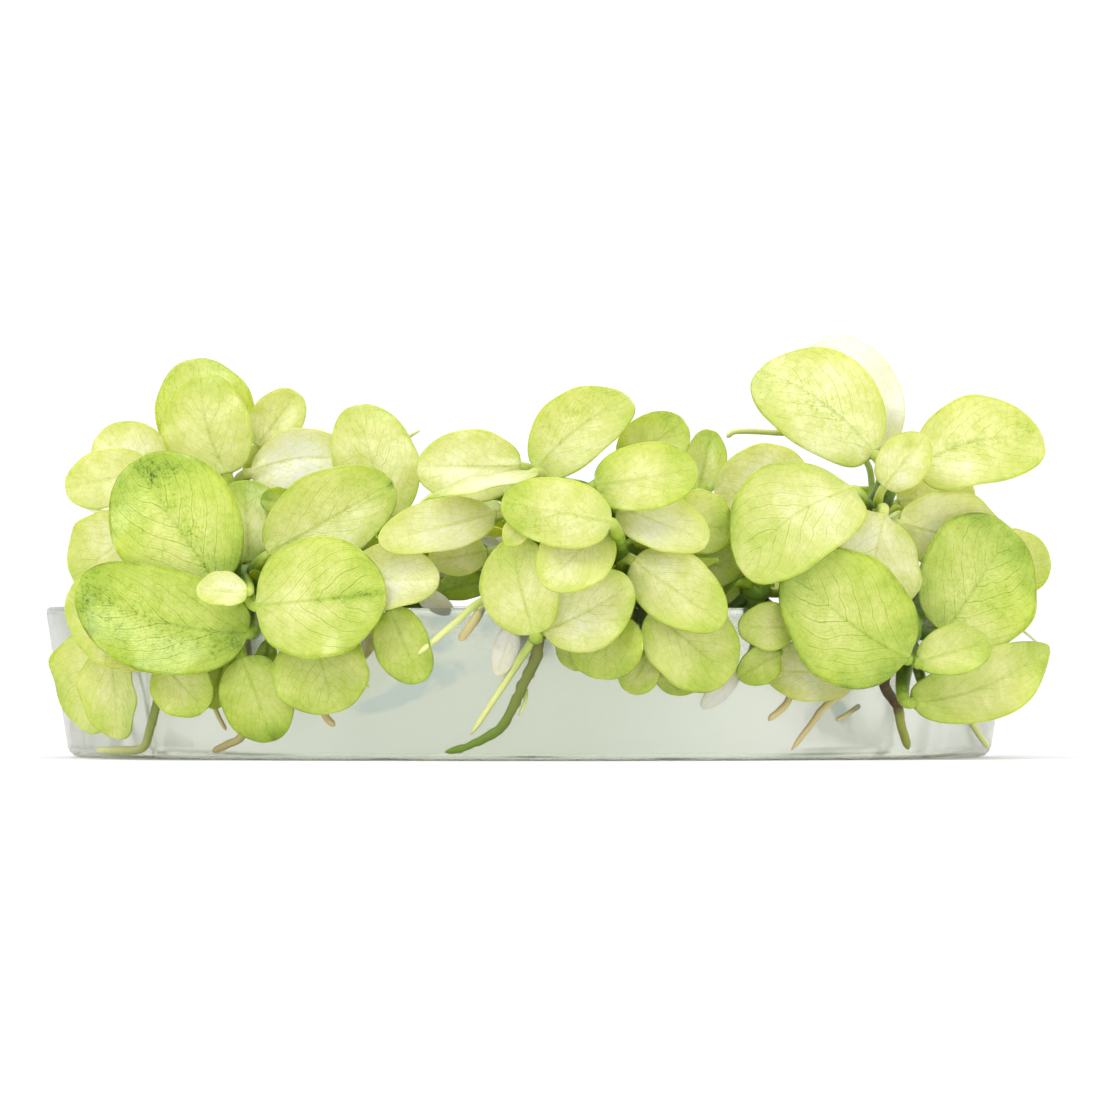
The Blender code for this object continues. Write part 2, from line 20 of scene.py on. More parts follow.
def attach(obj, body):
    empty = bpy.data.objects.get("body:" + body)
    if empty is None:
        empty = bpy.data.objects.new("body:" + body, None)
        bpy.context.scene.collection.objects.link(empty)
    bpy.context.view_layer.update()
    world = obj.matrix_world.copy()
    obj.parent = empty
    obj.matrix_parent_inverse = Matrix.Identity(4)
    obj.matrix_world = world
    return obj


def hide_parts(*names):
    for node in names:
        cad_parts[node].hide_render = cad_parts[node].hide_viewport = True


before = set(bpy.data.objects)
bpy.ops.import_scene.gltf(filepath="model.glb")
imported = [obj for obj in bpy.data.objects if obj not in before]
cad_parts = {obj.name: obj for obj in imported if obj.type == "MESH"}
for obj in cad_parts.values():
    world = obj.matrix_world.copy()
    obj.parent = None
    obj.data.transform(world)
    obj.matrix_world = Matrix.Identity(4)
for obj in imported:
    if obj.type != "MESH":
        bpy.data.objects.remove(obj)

MM = 0.001
BODY = "root"

log = logging.getLogger("anubias")

# The most that a wave's start may be shifted by, in radians
PHASE = 6.3

Place = tuple[float, float, float]
Stops = tuple[tuple[float, Place], ...]


def vec(point: Place) -> np.ndarray:
    """A place as an array of three numbers."""
    return np.array(point, dtype=float)


def unit(arrow: np.ndarray) -> np.ndarray:
    """The same direction with length 1."""
    return arrow / np.linalg.norm(arrow, axis=-1, keepdims=True)


def deselect() -> None:
    """Leaves nothing selected, so that an operator acts on the new piece alone."""
    for obj in bpy.context.selected_objects:
        obj.select_set(False)


def turned(arrow: np.ndarray, start: np.ndarray, end: np.ndarray) -> np.ndarray:
    """Turns an arrow by the smallest turn that takes one direction to another.

    Args:
        arrow: the arrow to turn.
        start: unit direction before the turn.
        end: unit direction after the turn.

    Returns:
        The turned arrow.
    """
    turn = Vector(start).rotation_difference(Vector(end))
    return np.array(turn @ Vector(arrow))


def smooth_path(points: tuple[Place, ...], count: int) -> np.ndarray:
    """Evenly spread points on a smooth curve through the given ones.

    Args:
        points: the places that the curve runs through.
        count: how many points to return.

    Returns:
        An array of count places.
    """
    places = [vec(p) for p in points]
    places = [places[0] * 2 - places[1]] + places + [places[-1] * 2 - places[-2]]
    spans = len(points) - 1
    path = []
    for i in range(count):
        where = spans * i / (count - 1)
        k = min(int(where), spans - 1)
        t = where - k
        a, b, c, d = places[k:k + 4]
        path.append(0.5 * (b * 2 + (c - a) * t + (a * 2 - b * 5 + c * 4 - d) * t * t
                           + (b * 3 - a - c * 3 + d) * t ** 3))
    return np.array(path)


class Tone(Enum):
    """A leaf's tissue: how green it is, from the palest to the darkest, or wilted."""

    WHITE = "white"
    CREAM = "cream"
    PALE = "pale"
    LIME = "lime"
    GREEN = "green"
    OLIVE = "olive"
    WILTED = "wilted"


class MarkKind(Enum):
    """What a marking on a leaf is."""

    SPECKLE = "speckle"
    SPOT = "spot"


@dataclass(frozen=True)
class Mark:
    """A soft-edged marking: where it lies along and across the blade, its reach and its strength."""

    kind: MarkKind
    along: float
    across: float
    length: float
    breadth: float
    strength: float = 1.0


def speckle(along: float, across: float, length: float, breadth: float, strength: float = 1.0) -> Mark:
    """A stretch of fine dark green grains."""
    return Mark(MarkKind.SPECKLE, along, across, length, breadth, strength)


def spot(along: float, across: float, length: float, breadth: float, strength: float = 1.0) -> Mark:
    """A dark green stain."""
    return Mark(MarkKind.SPOT, along, across, length, breadth, strength)


class Bench:
    """Lays out the nodes of one material."""

    def __init__(self, name: str) -> None:
        """Starts a material with its shader."""
        self.material = bpy.data.materials.new(name)
        self.material.use_nodes = True
        self.tree = self.material.node_tree
        self.shader = self.tree.nodes["Principled BSDF"]

    def node(self, kind: str, **values: object) -> bpy.types.Node:
        """Adds a node of a kind and sets its properties."""
        made = self.tree.nodes.new(f"ShaderNode{kind}")
        for key, value in values.items():
            setattr(made, key, value)
        return made

    def plug(self, value: object, socket: bpy.types.NodeSocket) -> None:
        """Links a socket to an input, or sets a plain value on it."""
        if isinstance(value, bpy.types.NodeSocket):
            self.tree.links.new(value, socket)
        else:
            socket.default_value = value

    def attribute(self, name: str) -> bpy.types.NodeSocket:
        """The value of one of the mesh's own attributes."""
        return self.node("Attribute", attribute_name=name).outputs["Fac"]

    def place(self) -> bpy.types.NodeSocket:
        """The point's place on the object."""
        return self.node("TexCoord").outputs["Object"]

    def math(self, operation: str, *values: object) -> bpy.types.NodeSocket:
        """The result of a sum on sockets or numbers."""
        made = self.node("Math", operation=operation)
        for value, socket in zip(values, made.inputs):
            self.plug(value, socket)
        return made.outputs[0]

    def total(self, *terms: object) -> bpy.types.NodeSocket:
        """The sum of several terms."""
        result = terms[0]
        for term in terms[1:]:
            result = self.math("ADD", result, term)
        return result

    def weighted(self, *terms: tuple[object, float]) -> bpy.types.NodeSocket:
        """The sum of several terms, each times its weight."""
        return self.total(*(self.math("MULTIPLY", value, weight) for value, weight in terms))

    def remap(self, value: object, low: float, high: float, to_low: float = 0.0,
              to_high: float = 1.0) -> bpy.types.NodeSocket:
        """A value taken smoothly from one range to another, and held at its ends."""
        made = self.node("MapRange", interpolation_type="SMOOTHSTEP")
        for number, socket in zip((value, low, high, to_low, to_high), made.inputs):
            self.plug(number, socket)
        return made.outputs[0]

    def noise(self, scale: float, detail: float = 2.0, roughness: float = 0.5) -> bpy.types.NodeSocket:
        """Soft clouds from 0 to 1, with so many to the metre."""
        made = self.node("TexNoise")
        self.plug(self.place(), made.inputs["Vector"])
        made.inputs["Scale"].default_value = scale
        made.inputs["Detail"].default_value = detail
        made.inputs["Roughness"].default_value = roughness
        return made.outputs["Fac"]

    def clouds(self, scale: float, detail: float, roughness: float) -> bpy.types.NodeSocket:
        """Soft clouds that darken as much as they brighten."""
        return self.math("SUBTRACT", self.noise(scale, detail, roughness), 0.5)

    def cells(self, scale: float) -> bpy.types.NodeSocket:
        """How far a point is from the edges of small cells, with so many to the metre."""
        made = self.node("TexVoronoi", feature="DISTANCE_TO_EDGE")
        self.plug(self.place(), made.inputs["Vector"])
        made.inputs["Scale"].default_value = scale
        return made.outputs["Distance"]

    def ramp(self, value: bpy.types.NodeSocket, stops: Stops) -> bpy.types.NodeSocket:
        """A colour that runs through the stops as the value rises."""
        made = self.node("ValToRGB")
        band = made.color_ramp
        while len(band.elements) < len(stops):
            band.elements.new(1.0)
        for element, (where, colour) in zip(band.elements, stops):
            element.position = where
            element.color = (*colour, 1.0)
        self.plug(value, made.inputs["Fac"])
        return made.outputs["Color"]

    def blend(self, share: bpy.types.NodeSocket, colour: bpy.types.NodeSocket,
              other: Place) -> bpy.types.NodeSocket:
        """A colour that gives way to another one as the share rises."""
        made = self.node("Mix", data_type="RGBA")
        factor, first, second = (made.inputs[i] for i in (0, 6, 7))
        self.plug(share, factor)
        self.plug(colour, first)
        self.plug((*other, 1.0), second)
        return made.outputs[2]

    def bump(self, height: bpy.types.NodeSocket, depth: float, strength: float) -> None:
        """Raises the surface by a height, over a depth in millimetres."""
        made = self.node("Bump")
        made.inputs["Strength"].default_value = strength
        made.inputs["Distance"].default_value = depth * MM
        self.plug(height, made.inputs["Height"])
        self.plug(made.outputs["Normal"], self.shader.inputs["Normal"])

    def set(self, **values: object) -> None:
        """Sets or links the shader's sockets, named with underscores for spaces."""
        for key, value in values.items():
            self.plug(value, self.shader.inputs[key.replace("_", " ")])


# Colours of the leaf tissue, from bleached cream to full green
LEAF_SCALE = (
    (0.00, (0.89, 0.88, 0.70)),
    (0.12, (0.79, 0.80, 0.42)),
    (0.28, (0.64, 0.67, 0.23)),
    (0.50, (0.46, 0.56, 0.085)),
    (0.75, (0.26, 0.39, 0.018)),
    (1.00, (0.07, 0.13, 0.004)),
)
# Colours of wilted tissue, from straw to brown
WILTED_SCALE = (
    (0.00, (0.88, 0.86, 0.72)),
    (0.50, (0.72, 0.64, 0.38)),
    (1.00, (0.22, 0.15, 0.06)),
)


@dataclass(frozen=True)
class LeafFinish:
    """Thin waxy leaf tissue with veins, a darker rim and speckles, lit through from behind.

    Most values say how much greener a feature makes the tissue. The scales say how many of
    a pattern there are to the metre.
    """

    tone: Tone
    green: float
    cloud: float = 0.62
    vein: float = 0.22
    rim: float = 0.24
    # Greener towards the rim and the tip: partly the tissue's own tone, partly painted shade at the
    # cupped blade's edges
    fade_and_painted_shade: float = 0.16
    foot: float = 0.14
    stalk: float = 0.34
    # Painted shade: darker green at the petiole's foot, where the leaves crowd at the rhizome
    crown: float = 0.40
    grain: float = 0.34
    sprinkle: float = 0.10
    loose_grain: float = 0.05
    stain: float = 0.5
    underside: float = -0.04
    roughness: float = 0.34

    main_veins: float = 6.5
    fine_veins: float = 26.0
    net_scale: float = 1150.0
    wobble_scale: float = 380.0
    cloud_scale: float = 150.0
    patch_scale: float = 560.0
    grain_scale: float = 2900.0
    sprinkle_scale: float = 1100.0
    crease_scale: float = 260.0
    skin_scale: float = 900.0
    relief: float = 0.14

    def make(self) -> bpy.types.Material:
        """Lays out the finish.

        Returns:
            The material.
        """
        bench = Bench(f"leaf {self.tone.value}")
        along, aside = bench.attribute("along"), bench.math("ABSOLUTE", bench.attribute("across"))
        lines = self.lines(bench, along, aside)
        green = bench.total(
            self.mottle(bench),
            bench.weighted(*zip(lines, (self.vein, self.vein * 0.35, self.vein * 0.36, self.vein * 0.5))),
            self.shade(bench, along, aside),
            self.markings(bench),
            bench.attribute("shift"),
            self.green,
        )
        relief = bench.total(bench.weighted(*zip(lines, (-0.7, -0.3, -0.25, -1.0))),
                             bench.math("MULTIPLY", bench.noise(self.crease_scale, 2.0), 2.0),
                             bench.noise(self.skin_scale, 3.0))
        bench.bump(relief, self.relief, 0.7)
        scale = WILTED_SCALE if self.tone == Tone.WILTED else LEAF_SCALE
        bench.set(Base_Color=bench.ramp(green, scale), Roughness=self.roughness, IOR=1.42,
                  Subsurface_Weight=0.75, Subsurface_Radius=(1.0, 0.95, 0.4), Subsurface_Scale=1.0 * MM,
                  Coat_Weight=0.25, Coat_Roughness=0.14)
        return bench.material

    def lines(self, bench: Bench, along: bpy.types.NodeSocket,
              aside: bpy.types.NodeSocket) -> tuple[bpy.types.NodeSocket, ...]:
        """The main veins, the fine ones, the net between them and the midrib, each 1 on its line.

        Args:
            bench: where the finish is laid out.
            along: how far along the blade a point is.
            aside: how far from the midrib it is, 1 at the rim.

        Returns:
            The four values.
        """
        wobble = bench.math("MULTIPLY", bench.clouds(self.wobble_scale, 2.0, 0.5), 0.14)
        arch = bench.total(along, bench.math("MULTIPLY", aside, -0.52),
                           bench.math("MULTIPLY", bench.math("POWER", aside, 3.0), -0.25), wobble)
        main = self.veins(bench, arch, self.main_veins, 0.034)
        fine = self.veins(bench, arch, self.fine_veins, 0.10)
        net = bench.remap(bench.cells(self.net_scale), 0.0, 0.05, 1.0, 0.0)
        rib = bench.remap(bench.attribute("from_rib"), 0.02, 0.26, 1.0, 0.0)
        return main, fine, net, bench.math("MULTIPLY", rib, bench.remap(along, 0.2, 1.0, 1.0, 0.25))

    @staticmethod
    def veins(bench: Bench, arch: bpy.types.NodeSocket, count: float,
              breadth: float) -> bpy.types.NodeSocket:
        """Lines that leave the midrib and arch to the tip, 1 on a vein and 0 between veins."""
        lines = bench.math("PINGPONG", bench.math("MULTIPLY", arch, count), 0.5)
        return bench.remap(lines, 0.0, breadth, 1.0, 0.0)

    def mottle(self, bench: Bench) -> bpy.types.NodeSocket:
        """Large soft clouds and smaller patches of greener tissue."""
        return bench.weighted((bench.clouds(self.cloud_scale, 3.0, 0.6), self.cloud),
                              (bench.clouds(self.patch_scale, 5.0, 0.7), self.cloud * 0.7))

    def shade(self, bench: Bench, along: bpy.types.NodeSocket,
              aside: bpy.types.NodeSocket) -> bpy.types.NodeSocket:
        """Greener tissue at the rim, the tip and the foot of the blade, and on the petiole; the fade to
        the rim and the tip is partly painted shade, and the darkening at the petiole's foot is painted
        shade at the crown.
        """
        return bench.weighted(
            (bench.math("MULTIPLY", aside, aside), self.fade_and_painted_shade),
            (bench.remap(along, 0.5, 1.0), self.fade_and_painted_shade),
            (bench.remap(aside, 0.90, 1.0), self.rim),
            (bench.remap(along, 0.0, 0.30, 1.0, 0.0), self.foot),
            (bench.remap(along, -0.8, 0.14, 1.0, 0.0), self.stalk),
            # Painted shade at the crown, on the petiole's lower part
            (bench.remap(along, -1.0, -0.4, 1.0, 0.0), self.crown),
            (bench.attribute("under"), self.underside),
        )

    def markings(self, bench: Bench) -> bpy.types.NodeSocket:
        """Dark grains where the blade is speckled, few elsewhere, and its stains."""
        grains = bench.remap(bench.noise(self.grain_scale, 3.0, 0.75), 0.50, 0.58)
        sprinkle = bench.remap(bench.noise(self.sprinkle_scale, 5.0, 0.7), 0.36, 0.68)
        dots = bench.math("MULTIPLY", grains, sprinkle)
        mask = bench.attribute("speckle")
        return bench.weighted(
            (bench.math("MULTIPLY", dots, mask), self.grain),
            (bench.math("MULTIPLY", sprinkle, mask), self.sprinkle),
            (mask, 0.02),
            (dots, self.loose_grain),
            (bench.attribute("spot"), self.stain),
        )


LEAF_FINISHES = (
    LeafFinish(Tone.WHITE, -0.10, cloud=0.25, vein=0.12, rim=0.12, fade_and_painted_shade=0.06, stalk=0.6),
    LeafFinish(Tone.CREAM, 0.06, cloud=0.40),
    LeafFinish(Tone.PALE, 0.19),
    LeafFinish(Tone.LIME, 0.33),
    LeafFinish(Tone.GREEN, 0.48, stalk=0.25),
    LeafFinish(Tone.OLIVE, 0.66, stalk=0.15, crown=0.2),
    LeafFinish(Tone.WILTED, 0.16, cloud=0.8),
)


@dataclass(frozen=True)
class TissueFinish:
    """Firm green or brown tissue of rhizomes and roots, which changes along the piece."""

    name: str
    foot_colour: Place
    tip_colour: Place
    grain: float = 1400.0
    roughness: float = 0.5
    turns_from: float = 0.0
    turns_to: float = 1.0

    def make(self) -> bpy.types.Material:
        """Lays out the finish.

        Returns:
            The material.
        """
        bench = Bench(self.name)
        mottle = bench.clouds(self.grain, 4.0, 0.65)
        reach = bench.remap(bench.attribute("along"), self.turns_from, self.turns_to)
        share = bench.total(reach, bench.math("MULTIPLY", mottle, 0.7))
        colour = bench.ramp(share, ((0.0, self.foot_colour), (1.0, self.tip_colour)))
        bench.bump(bench.noise(self.grain * 1.6, 4.0, 0.7), 0.12, 0.5)
        bench.set(Base_Color=colour, Roughness=self.roughness, Subsurface_Weight=0.25,
                  Subsurface_Radius=(1.0, 0.8, 0.3), Subsurface_Scale=0.5 * MM)
        return bench.material


@dataclass(frozen=True)
class Streak:
    """A soft blue-grey streak of painted refraction in the gel: its middle, half length, half breadth and
    slope in degrees.
    """

    middle: Place
    length: float
    breadth: float
    slope: float
    depth: float = 4.0


@dataclass(frozen=True)
class GelFinish:
    """Set culture gel: soft and hazy, grey-green through its depth, with a few blue-grey streaks of
    painted refraction.

    The colour is set by place, from the puck's left side to its right one, and is clear at both ends:
    partly the gel's own haziness, partly painted light that whitens the ends and greys the middle.
    """

    transmission: float = 0.93
    roughness: float = 0.24
    tint: Place = (0.69, 0.75, 0.58)
    density: float = 8.0
    half_width: float = 50.0
    swell_scale: float = 110.0
    dimple_scale: float = 450.0
    break_scale: float = 260.0
    # Colour of the streaks: painted refraction of dark gaps seen through the gel's front
    fold: Place = (0.54, 0.63, 0.66)
    haze_and_painted_light: Stops = (
        (0.08, (1.0, 1.0, 1.0)), (0.26, (0.77, 0.79, 0.735)), (0.58, (0.76, 0.785, 0.725)),
        (0.78, (0.95, 0.955, 0.93)), (0.90, (1.0, 1.0, 1.0)),
    )
    streaks: tuple[Streak, ...] = (
        Streak((-8.4, -47.6, 14.3), 2.6, 1.0, 35.0),
        Streak((-8.3, -47.4, 11.7), 3.4, 1.3, 8.0),
        Streak((-9.8, -47.0, 8.0), 7.5, 1.7, 22.0),
        Streak((-14.6, -45.6, 5.6), 5.2, 1.1, 14.0),
        Streak((-4.0, -48.0, 13.3), 3.0, 1.0, 62.0),
        Streak((31.0, -35.2, 5.0), 3.4, 1.1, -58.0),
    )

    def make(self) -> bpy.types.Material:
        """Lays out the finish.

        Returns:
            The material.
        """
        bench = Bench("culture gel")
        dimples = bench.math("MULTIPLY", bench.noise(self.dimple_scale, 4.0), 0.3)
        bench.bump(bench.total(bench.noise(self.swell_scale, 3.0), dimples), 0.5, 0.3)
        painted_refractions = bench.total(*(self.mask(bench, streak) for streak in self.streaks))
        broken_up = bench.remap(bench.noise(self.break_scale, 4.0, 0.6), 0.28, 0.62)
        where = bench.node("SeparateXYZ")
        bench.plug(bench.place(), where.inputs[0])
        reach = self.half_width * MM
        # Painted light: whiter at the puck's ends, greyer in its middle
        haze_and_painted_light = bench.ramp(bench.remap(where.outputs["X"], -reach, reach), self.haze_and_painted_light)
        strength = bench.remap(bench.math("MULTIPLY", painted_refractions, broken_up), 0.0, 0.5)
        colour = bench.blend(strength, haze_and_painted_light, self.fold)
        bench.set(Base_Color=colour, Roughness=self.roughness, IOR=1.34,
                  Transmission_Weight=self.transmission)
        depth = bench.node("VolumeAbsorption")
        depth.inputs["Color"].default_value = (*self.tint, 1.0)
        depth.inputs["Density"].default_value = self.density
        out = bench.tree.nodes["Material Output"]
        bench.tree.links.new(depth.outputs["Volume"], out.inputs["Volume"])
        return bench.material

    @staticmethod
    def mask(bench: Bench, streak: Streak) -> bpy.types.NodeSocket:
        """Where a streak is, 1 at its middle and 0 past its ends."""
        laid = bench.node("Mapping", vector_type="TEXTURE")
        bench.plug(bench.place(), laid.inputs["Vector"])
        laid.inputs["Location"].default_value = [value * MM for value in streak.middle]
        laid.inputs["Rotation"].default_value = (0.0, -math.radians(streak.slope), 0.0)
        laid.inputs["Scale"].default_value = (streak.length * MM, streak.depth * MM, streak.breadth * MM)
        soft = bench.node("TexGradient", gradient_type="SPHERICAL")
        bench.plug(laid.outputs["Vector"], soft.inputs["Vector"])
        return soft.outputs["Fac"]


@dataclass(frozen=True)
class FloorFinish:
    """A plain pale floor."""

    colour: Place = (0.97, 0.97, 0.97)

    def make(self) -> bpy.types.Material:
        """Lays out the finish."""
        bench = Bench("pale floor")
        bench.set(Base_Color=(*self.colour, 1.0), Roughness=0.8)
        return bench.material


@dataclass
class Skin:
    """A closed skin of rings between two poles, made once and copied for each grown piece."""

    sides: int
    rings: int
    stock: Optional[bpy.types.Object] = None
    ring: np.ndarray = field(default_factory=lambda: np.zeros(0))
    angle: np.ndarray = field(default_factory=lambda: np.zeros(0))
    faces: list[tuple[int, ...]] = field(default_factory=list)

    def build(self) -> None:
        """Makes the stock piece, and reads which ring and side each of its points is on."""
        deselect()
        bpy.ops.mesh.primitive_uv_sphere_add(segments=self.sides, ring_count=self.rings)
        self.stock = bpy.context.object
        bpy.ops.object.shade_smooth()
        places = np.zeros(len(self.stock.data.vertices) * 3)
        self.stock.data.vertices.foreach_get("co", places)
        places = places.reshape(-1, 3)
        turn = np.arccos(np.clip(-places[:, 2], -1.0, 1.0)) / math.pi
        self.ring = np.rint(turn * self.rings).astype(int)
        self.angle = np.arctan2(places[:, 1], places[:, 0])
        self.faces = [tuple(face.vertices) for face in self.stock.data.polygons]

    def copy(self, name: str, places: np.ndarray, shades: dict[str, np.ndarray]) -> bpy.types.Object:
        """A piece of its own with the stock's faces.

        Args:
            name: the new piece's name.
            places: where each point goes, in millimetres.
            shades: values for each point that the finish reads.

        Returns:
            The new piece, at the origin.
        """
        mesh = self.stock.data.copy()
        mesh.name = name
        mesh.vertices.foreach_set("co", (places * MM).ravel())
        for key, values in shades.items():
            layer = mesh.attributes.new(key, "FLOAT", "POINT")
            layer.data.foreach_set("value", np.broadcast_to(values, len(places)).astype(np.float32))
        mesh.update()
        piece = bpy.data.objects.new(name, mesh)
        bpy.context.scene.collection.objects.link(piece)
        return piece

    def discard(self) -> None:
        """Takes the stock piece away once every copy is made."""
        bpy.data.objects.remove(self.stock)


@dataclass
class Canopy:
    """The blades grown so far, so that a new one can be kept clear of them."""

    gel_top: float = 15.9
    gel_radius: float = 49.3
    foot_rings: int = 3
    blades: list[tuple[np.ndarray, np.ndarray, BVHTree]] = field(default_factory=list)

    def tree(self, places: np.ndarray, skin: Skin, first_ring: int) -> BVHTree:
        """The blade's faces as a tree that can be tested against another."""
        rings = skin.ring.tolist()
        faces = [face for face in skin.faces if min(rings[i] for i in face) > first_ring]
        return BVHTree.FromPolygons(places.tolist(), faces)

    def add(self, places: np.ndarray, skin: Skin, first_ring: int) -> None:
        """Adds a blade, whose points start past first_ring."""
        blade = places[skin.ring > first_ring]
        self.blades.append((blade.min(axis=0), blade.max(axis=0), self.tree(places, skin, first_ring)))

    def crossed(self, places: np.ndarray, skin: Skin, first_ring: int) -> bool:
        """Whether a leaf would cut another one's blade, or its blade the gel."""
        blade = places[skin.ring > first_ring]
        sunk = (blade[:, 2] < self.gel_top) & (np.hypot(blade[:, 0], blade[:, 1]) < self.gel_radius)
        if sunk.any():
            return True
        grown = places[skin.ring > self.foot_rings]
        low, high = grown.min(axis=0), grown.max(axis=0)
        near = [tree for least, most, tree in self.blades if (least < high).all() and (most > low).all()]
        own = self.tree(places, skin, self.foot_rings) if near else None
        return any(own.overlap(tree) for tree in near)


@dataclass
class LeafBlade:
    """One leaf: a blade on a petiole that grows from a rhizome."""

    base: Place
    tip: Place
    width: float
    face: Place
    bow: float = 0.0
    cup: float = 0.8
    at: float = 0.8
    own: bool = True
    tone: Tone = Tone.PALE
    marks: tuple[Mark, ...] = ()
    fold: float = 0.35
    ripple: float = 0.30
    ripples: float = 2.2
    twist: float = 0.0
    curl: float = 0.0
    stalk: float = 0.58
    point: float = 0.45
    deeper: float = 0.0

    thickness: float = 0.30
    widest_at: float = 0.48
    base_fullness: float = 0.39
    tip_droop: float = 0.6
    stalk_bend: float = 0.45
    stalk_rings: int = 10
    skew: float = 0.05
    edge_wave: float = 0.02
    edge_ripple: float = 0.005
    sway: float = 0.12

    def frame(self) -> tuple[np.ndarray, np.ndarray, np.ndarray]:
        """Unit directions to the tip, to the left and up from the blade."""
        along = unit(vec(self.tip) - vec(self.base))
        side = unit(np.cross(vec(self.face), along))
        return along, side, np.cross(along, side)

    def half_width(self, t: np.ndarray) -> np.ndarray:
        """Half the blade's width at shares of its length."""
        u = t ** (math.log(0.5) / math.log(self.widest_at))
        fullness = np.where(u < 0.5, self.base_fullness, self.point)
        return 0.5 * self.width * np.sin(np.pi * np.clip(u, 0.0, 0.9995)) ** fullness

    def foot(self, stem: np.ndarray, radius: float) -> np.ndarray:
        """Where the petiole starts, a little under the rhizome's skin."""
        where = self.at * (len(stem) - 1)
        k = min(int(where), len(stem) - 2)
        centre = stem[k] + (stem[k + 1] - stem[k]) * (where - k)
        axis = unit(stem[k + 1] - stem[k])
        towards = vec(self.base) - centre
        return centre + unit(towards - axis * towards.dot(axis) * 0.7) * (radius * 0.4)

    def stalk_places(self, foot: np.ndarray, rings: np.ndarray, angles: np.ndarray) -> np.ndarray:
        """Places of the petiole's points.

        Args:
            foot: where the petiole starts.
            rings: how far along the petiole each point is, from 0 to 1.
            angles: where round the petiole each point is.

        Returns:
            One place for each point.
        """
        along, side, _ = self.frame()
        base = vec(self.base)
        control = base - along * (self.stalk_bend * np.linalg.norm(base - foot))
        places = np.zeros((len(rings), 3))
        for p in np.unique(rings):
            centre = foot * (1 - p) ** 2 + control * (2 * p * (1 - p)) + base * (p * p)
            ahead = unit((control - foot) * (1 - p) + (base - control) * p + along * 1e-6)
            left = turned(side, along, ahead)
            up = np.cross(ahead, left)
            radius = self.stalk * (1 + 0.6 * (1 - p) ** 2) if p > 0 else 0.0
            here = rings == p
            a = angles[here][:, None]
            places[here] = centre + (left * np.cos(a) + up * np.sin(a)) * radius
        return places

    def blade_places(self, t: np.ndarray, angles: np.ndarray, chance: random.Random) -> np.ndarray:
        """Places of the blade's points.

        Args:
            t: how far along the blade each point is, from 0 to 1.
            angles: where round its section each point is.
            chance: the leaf's own source of chance.

        Returns:
            One place for each point.
        """
        along, side, normal = self.frame()
        length = np.linalg.norm(vec(self.tip) - vec(self.base))
        s = np.cos(angles)
        taper = (1 - t) ** 7
        uneven = 1 + np.where(s > 0, 1, -1) * chance.uniform(-self.skew, self.skew)
        wavy = self.edge_wave * np.sin(7.0 * t + chance.uniform(0, PHASE))
        rippled = self.edge_ripple * np.sin(19 * t + chance.uniform(0, PHASE))
        edge = 1 + wavy + rippled
        half = np.sqrt((self.half_width(t) * uneven * edge) ** 2 + (self.stalk * taper) ** 2)
        turn = (self.twist + chance.uniform(-self.sway, self.sway)) * (t - 0.3)
        lean = np.cos(turn)[:, None] * side + np.sin(turn)[:, None] * normal
        centre = (vec(self.base) + along * (length * t)[:, None]
                  + side * (self.bow * 4 * t * (1 - t))[:, None]
                  - normal * ((self.cup * self.tip_droop + self.curl * t ** 3) * t * t)[:, None])
        middle = np.sin(np.pi * t)
        phase = np.where(s > 0, chance.uniform(0, PHASE), chance.uniform(0, PHASE))
        size = min(self.width / 9.0, 1.2)
        wave = self.ripple * size * np.abs(s) ** 2.5 * np.sin(2 * np.pi * self.ripples * t + phase)
        rise = (self.cup * s * s * middle + self.fold * size * (np.abs(s) ** 1.1 - 0.35) * middle
                + wave * middle ** 0.5)
        rib = self.stalk * (1 - t) ** 1.3
        bulge = rib * np.exp(-(s * half / (rib * 0.9 + 0.08)) ** 2)
        skin = 0.5 * self.thickness * np.abs(np.sin(angles)) ** 0.6
        upper = np.where(np.sin(angles) > 0, skin + bulge * taper, -skin - bulge * 0.9)
        return centre + lean * (s * half)[:, None] + normal * (rise + upper)[:, None]

    def shares(self, skin: Skin) -> tuple[np.ndarray, np.ndarray]:
        """How far along the petiole and along the blade each of a skin's points is."""
        share = (skin.ring - self.stalk_rings) / (skin.rings - self.stalk_rings)
        blade = np.clip(share, 0.0, 1.0)
        t = np.clip(blade - 0.5 * np.sin(2 * np.pi * blade) / (2 * np.pi), 0.0, 1.0)
        return np.clip(skin.ring / self.stalk_rings, 0.0, 1.0), t

    def places(self, name: str, skin: Skin, stem: np.ndarray, radius: float) -> np.ndarray:
        """Places of the leaf's points.

        Args:
            name: the leaf's name, which its irregularities come from.
            skin: the stock that it is a copy of.
            stem: points along its rhizome.
            radius: the rhizome's radius.

        Returns:
            One place for each point of the skin.
        """
        stalk, t = self.shares(skin)
        places = self.blade_places(t, skin.angle, random.Random(name))
        lower = skin.ring <= self.stalk_rings
        places[lower] = self.stalk_places(self.foot(stem, radius), stalk[lower], skin.angle[lower])
        return places

    def dress(self, name: str, skin: Skin, places: np.ndarray) -> bpy.types.Object:
        """Makes the leaf's piece, with the values that its finish reads."""
        stalk, t = self.shares(skin)
        on_blade = skin.ring > self.stalk_rings
        s = np.cos(skin.angle)
        shades = {
            "along": np.where(on_blade, t, stalk - 1.0),
            "across": np.where(on_blade, s, 0.0),
            "from_rib": np.where(on_blade, np.abs(s) * self.half_width(t), 0.0),
            "under": (np.sin(skin.angle) < 0).astype(float),
            "shift": np.array(self.deeper or random.Random(name).uniform(-0.07, 0.07)),
        }
        for kind in MarkKind:
            shades[kind.value] = self.mark_values(kind, t, s) * on_blade
        return skin.copy(name, places, shades)

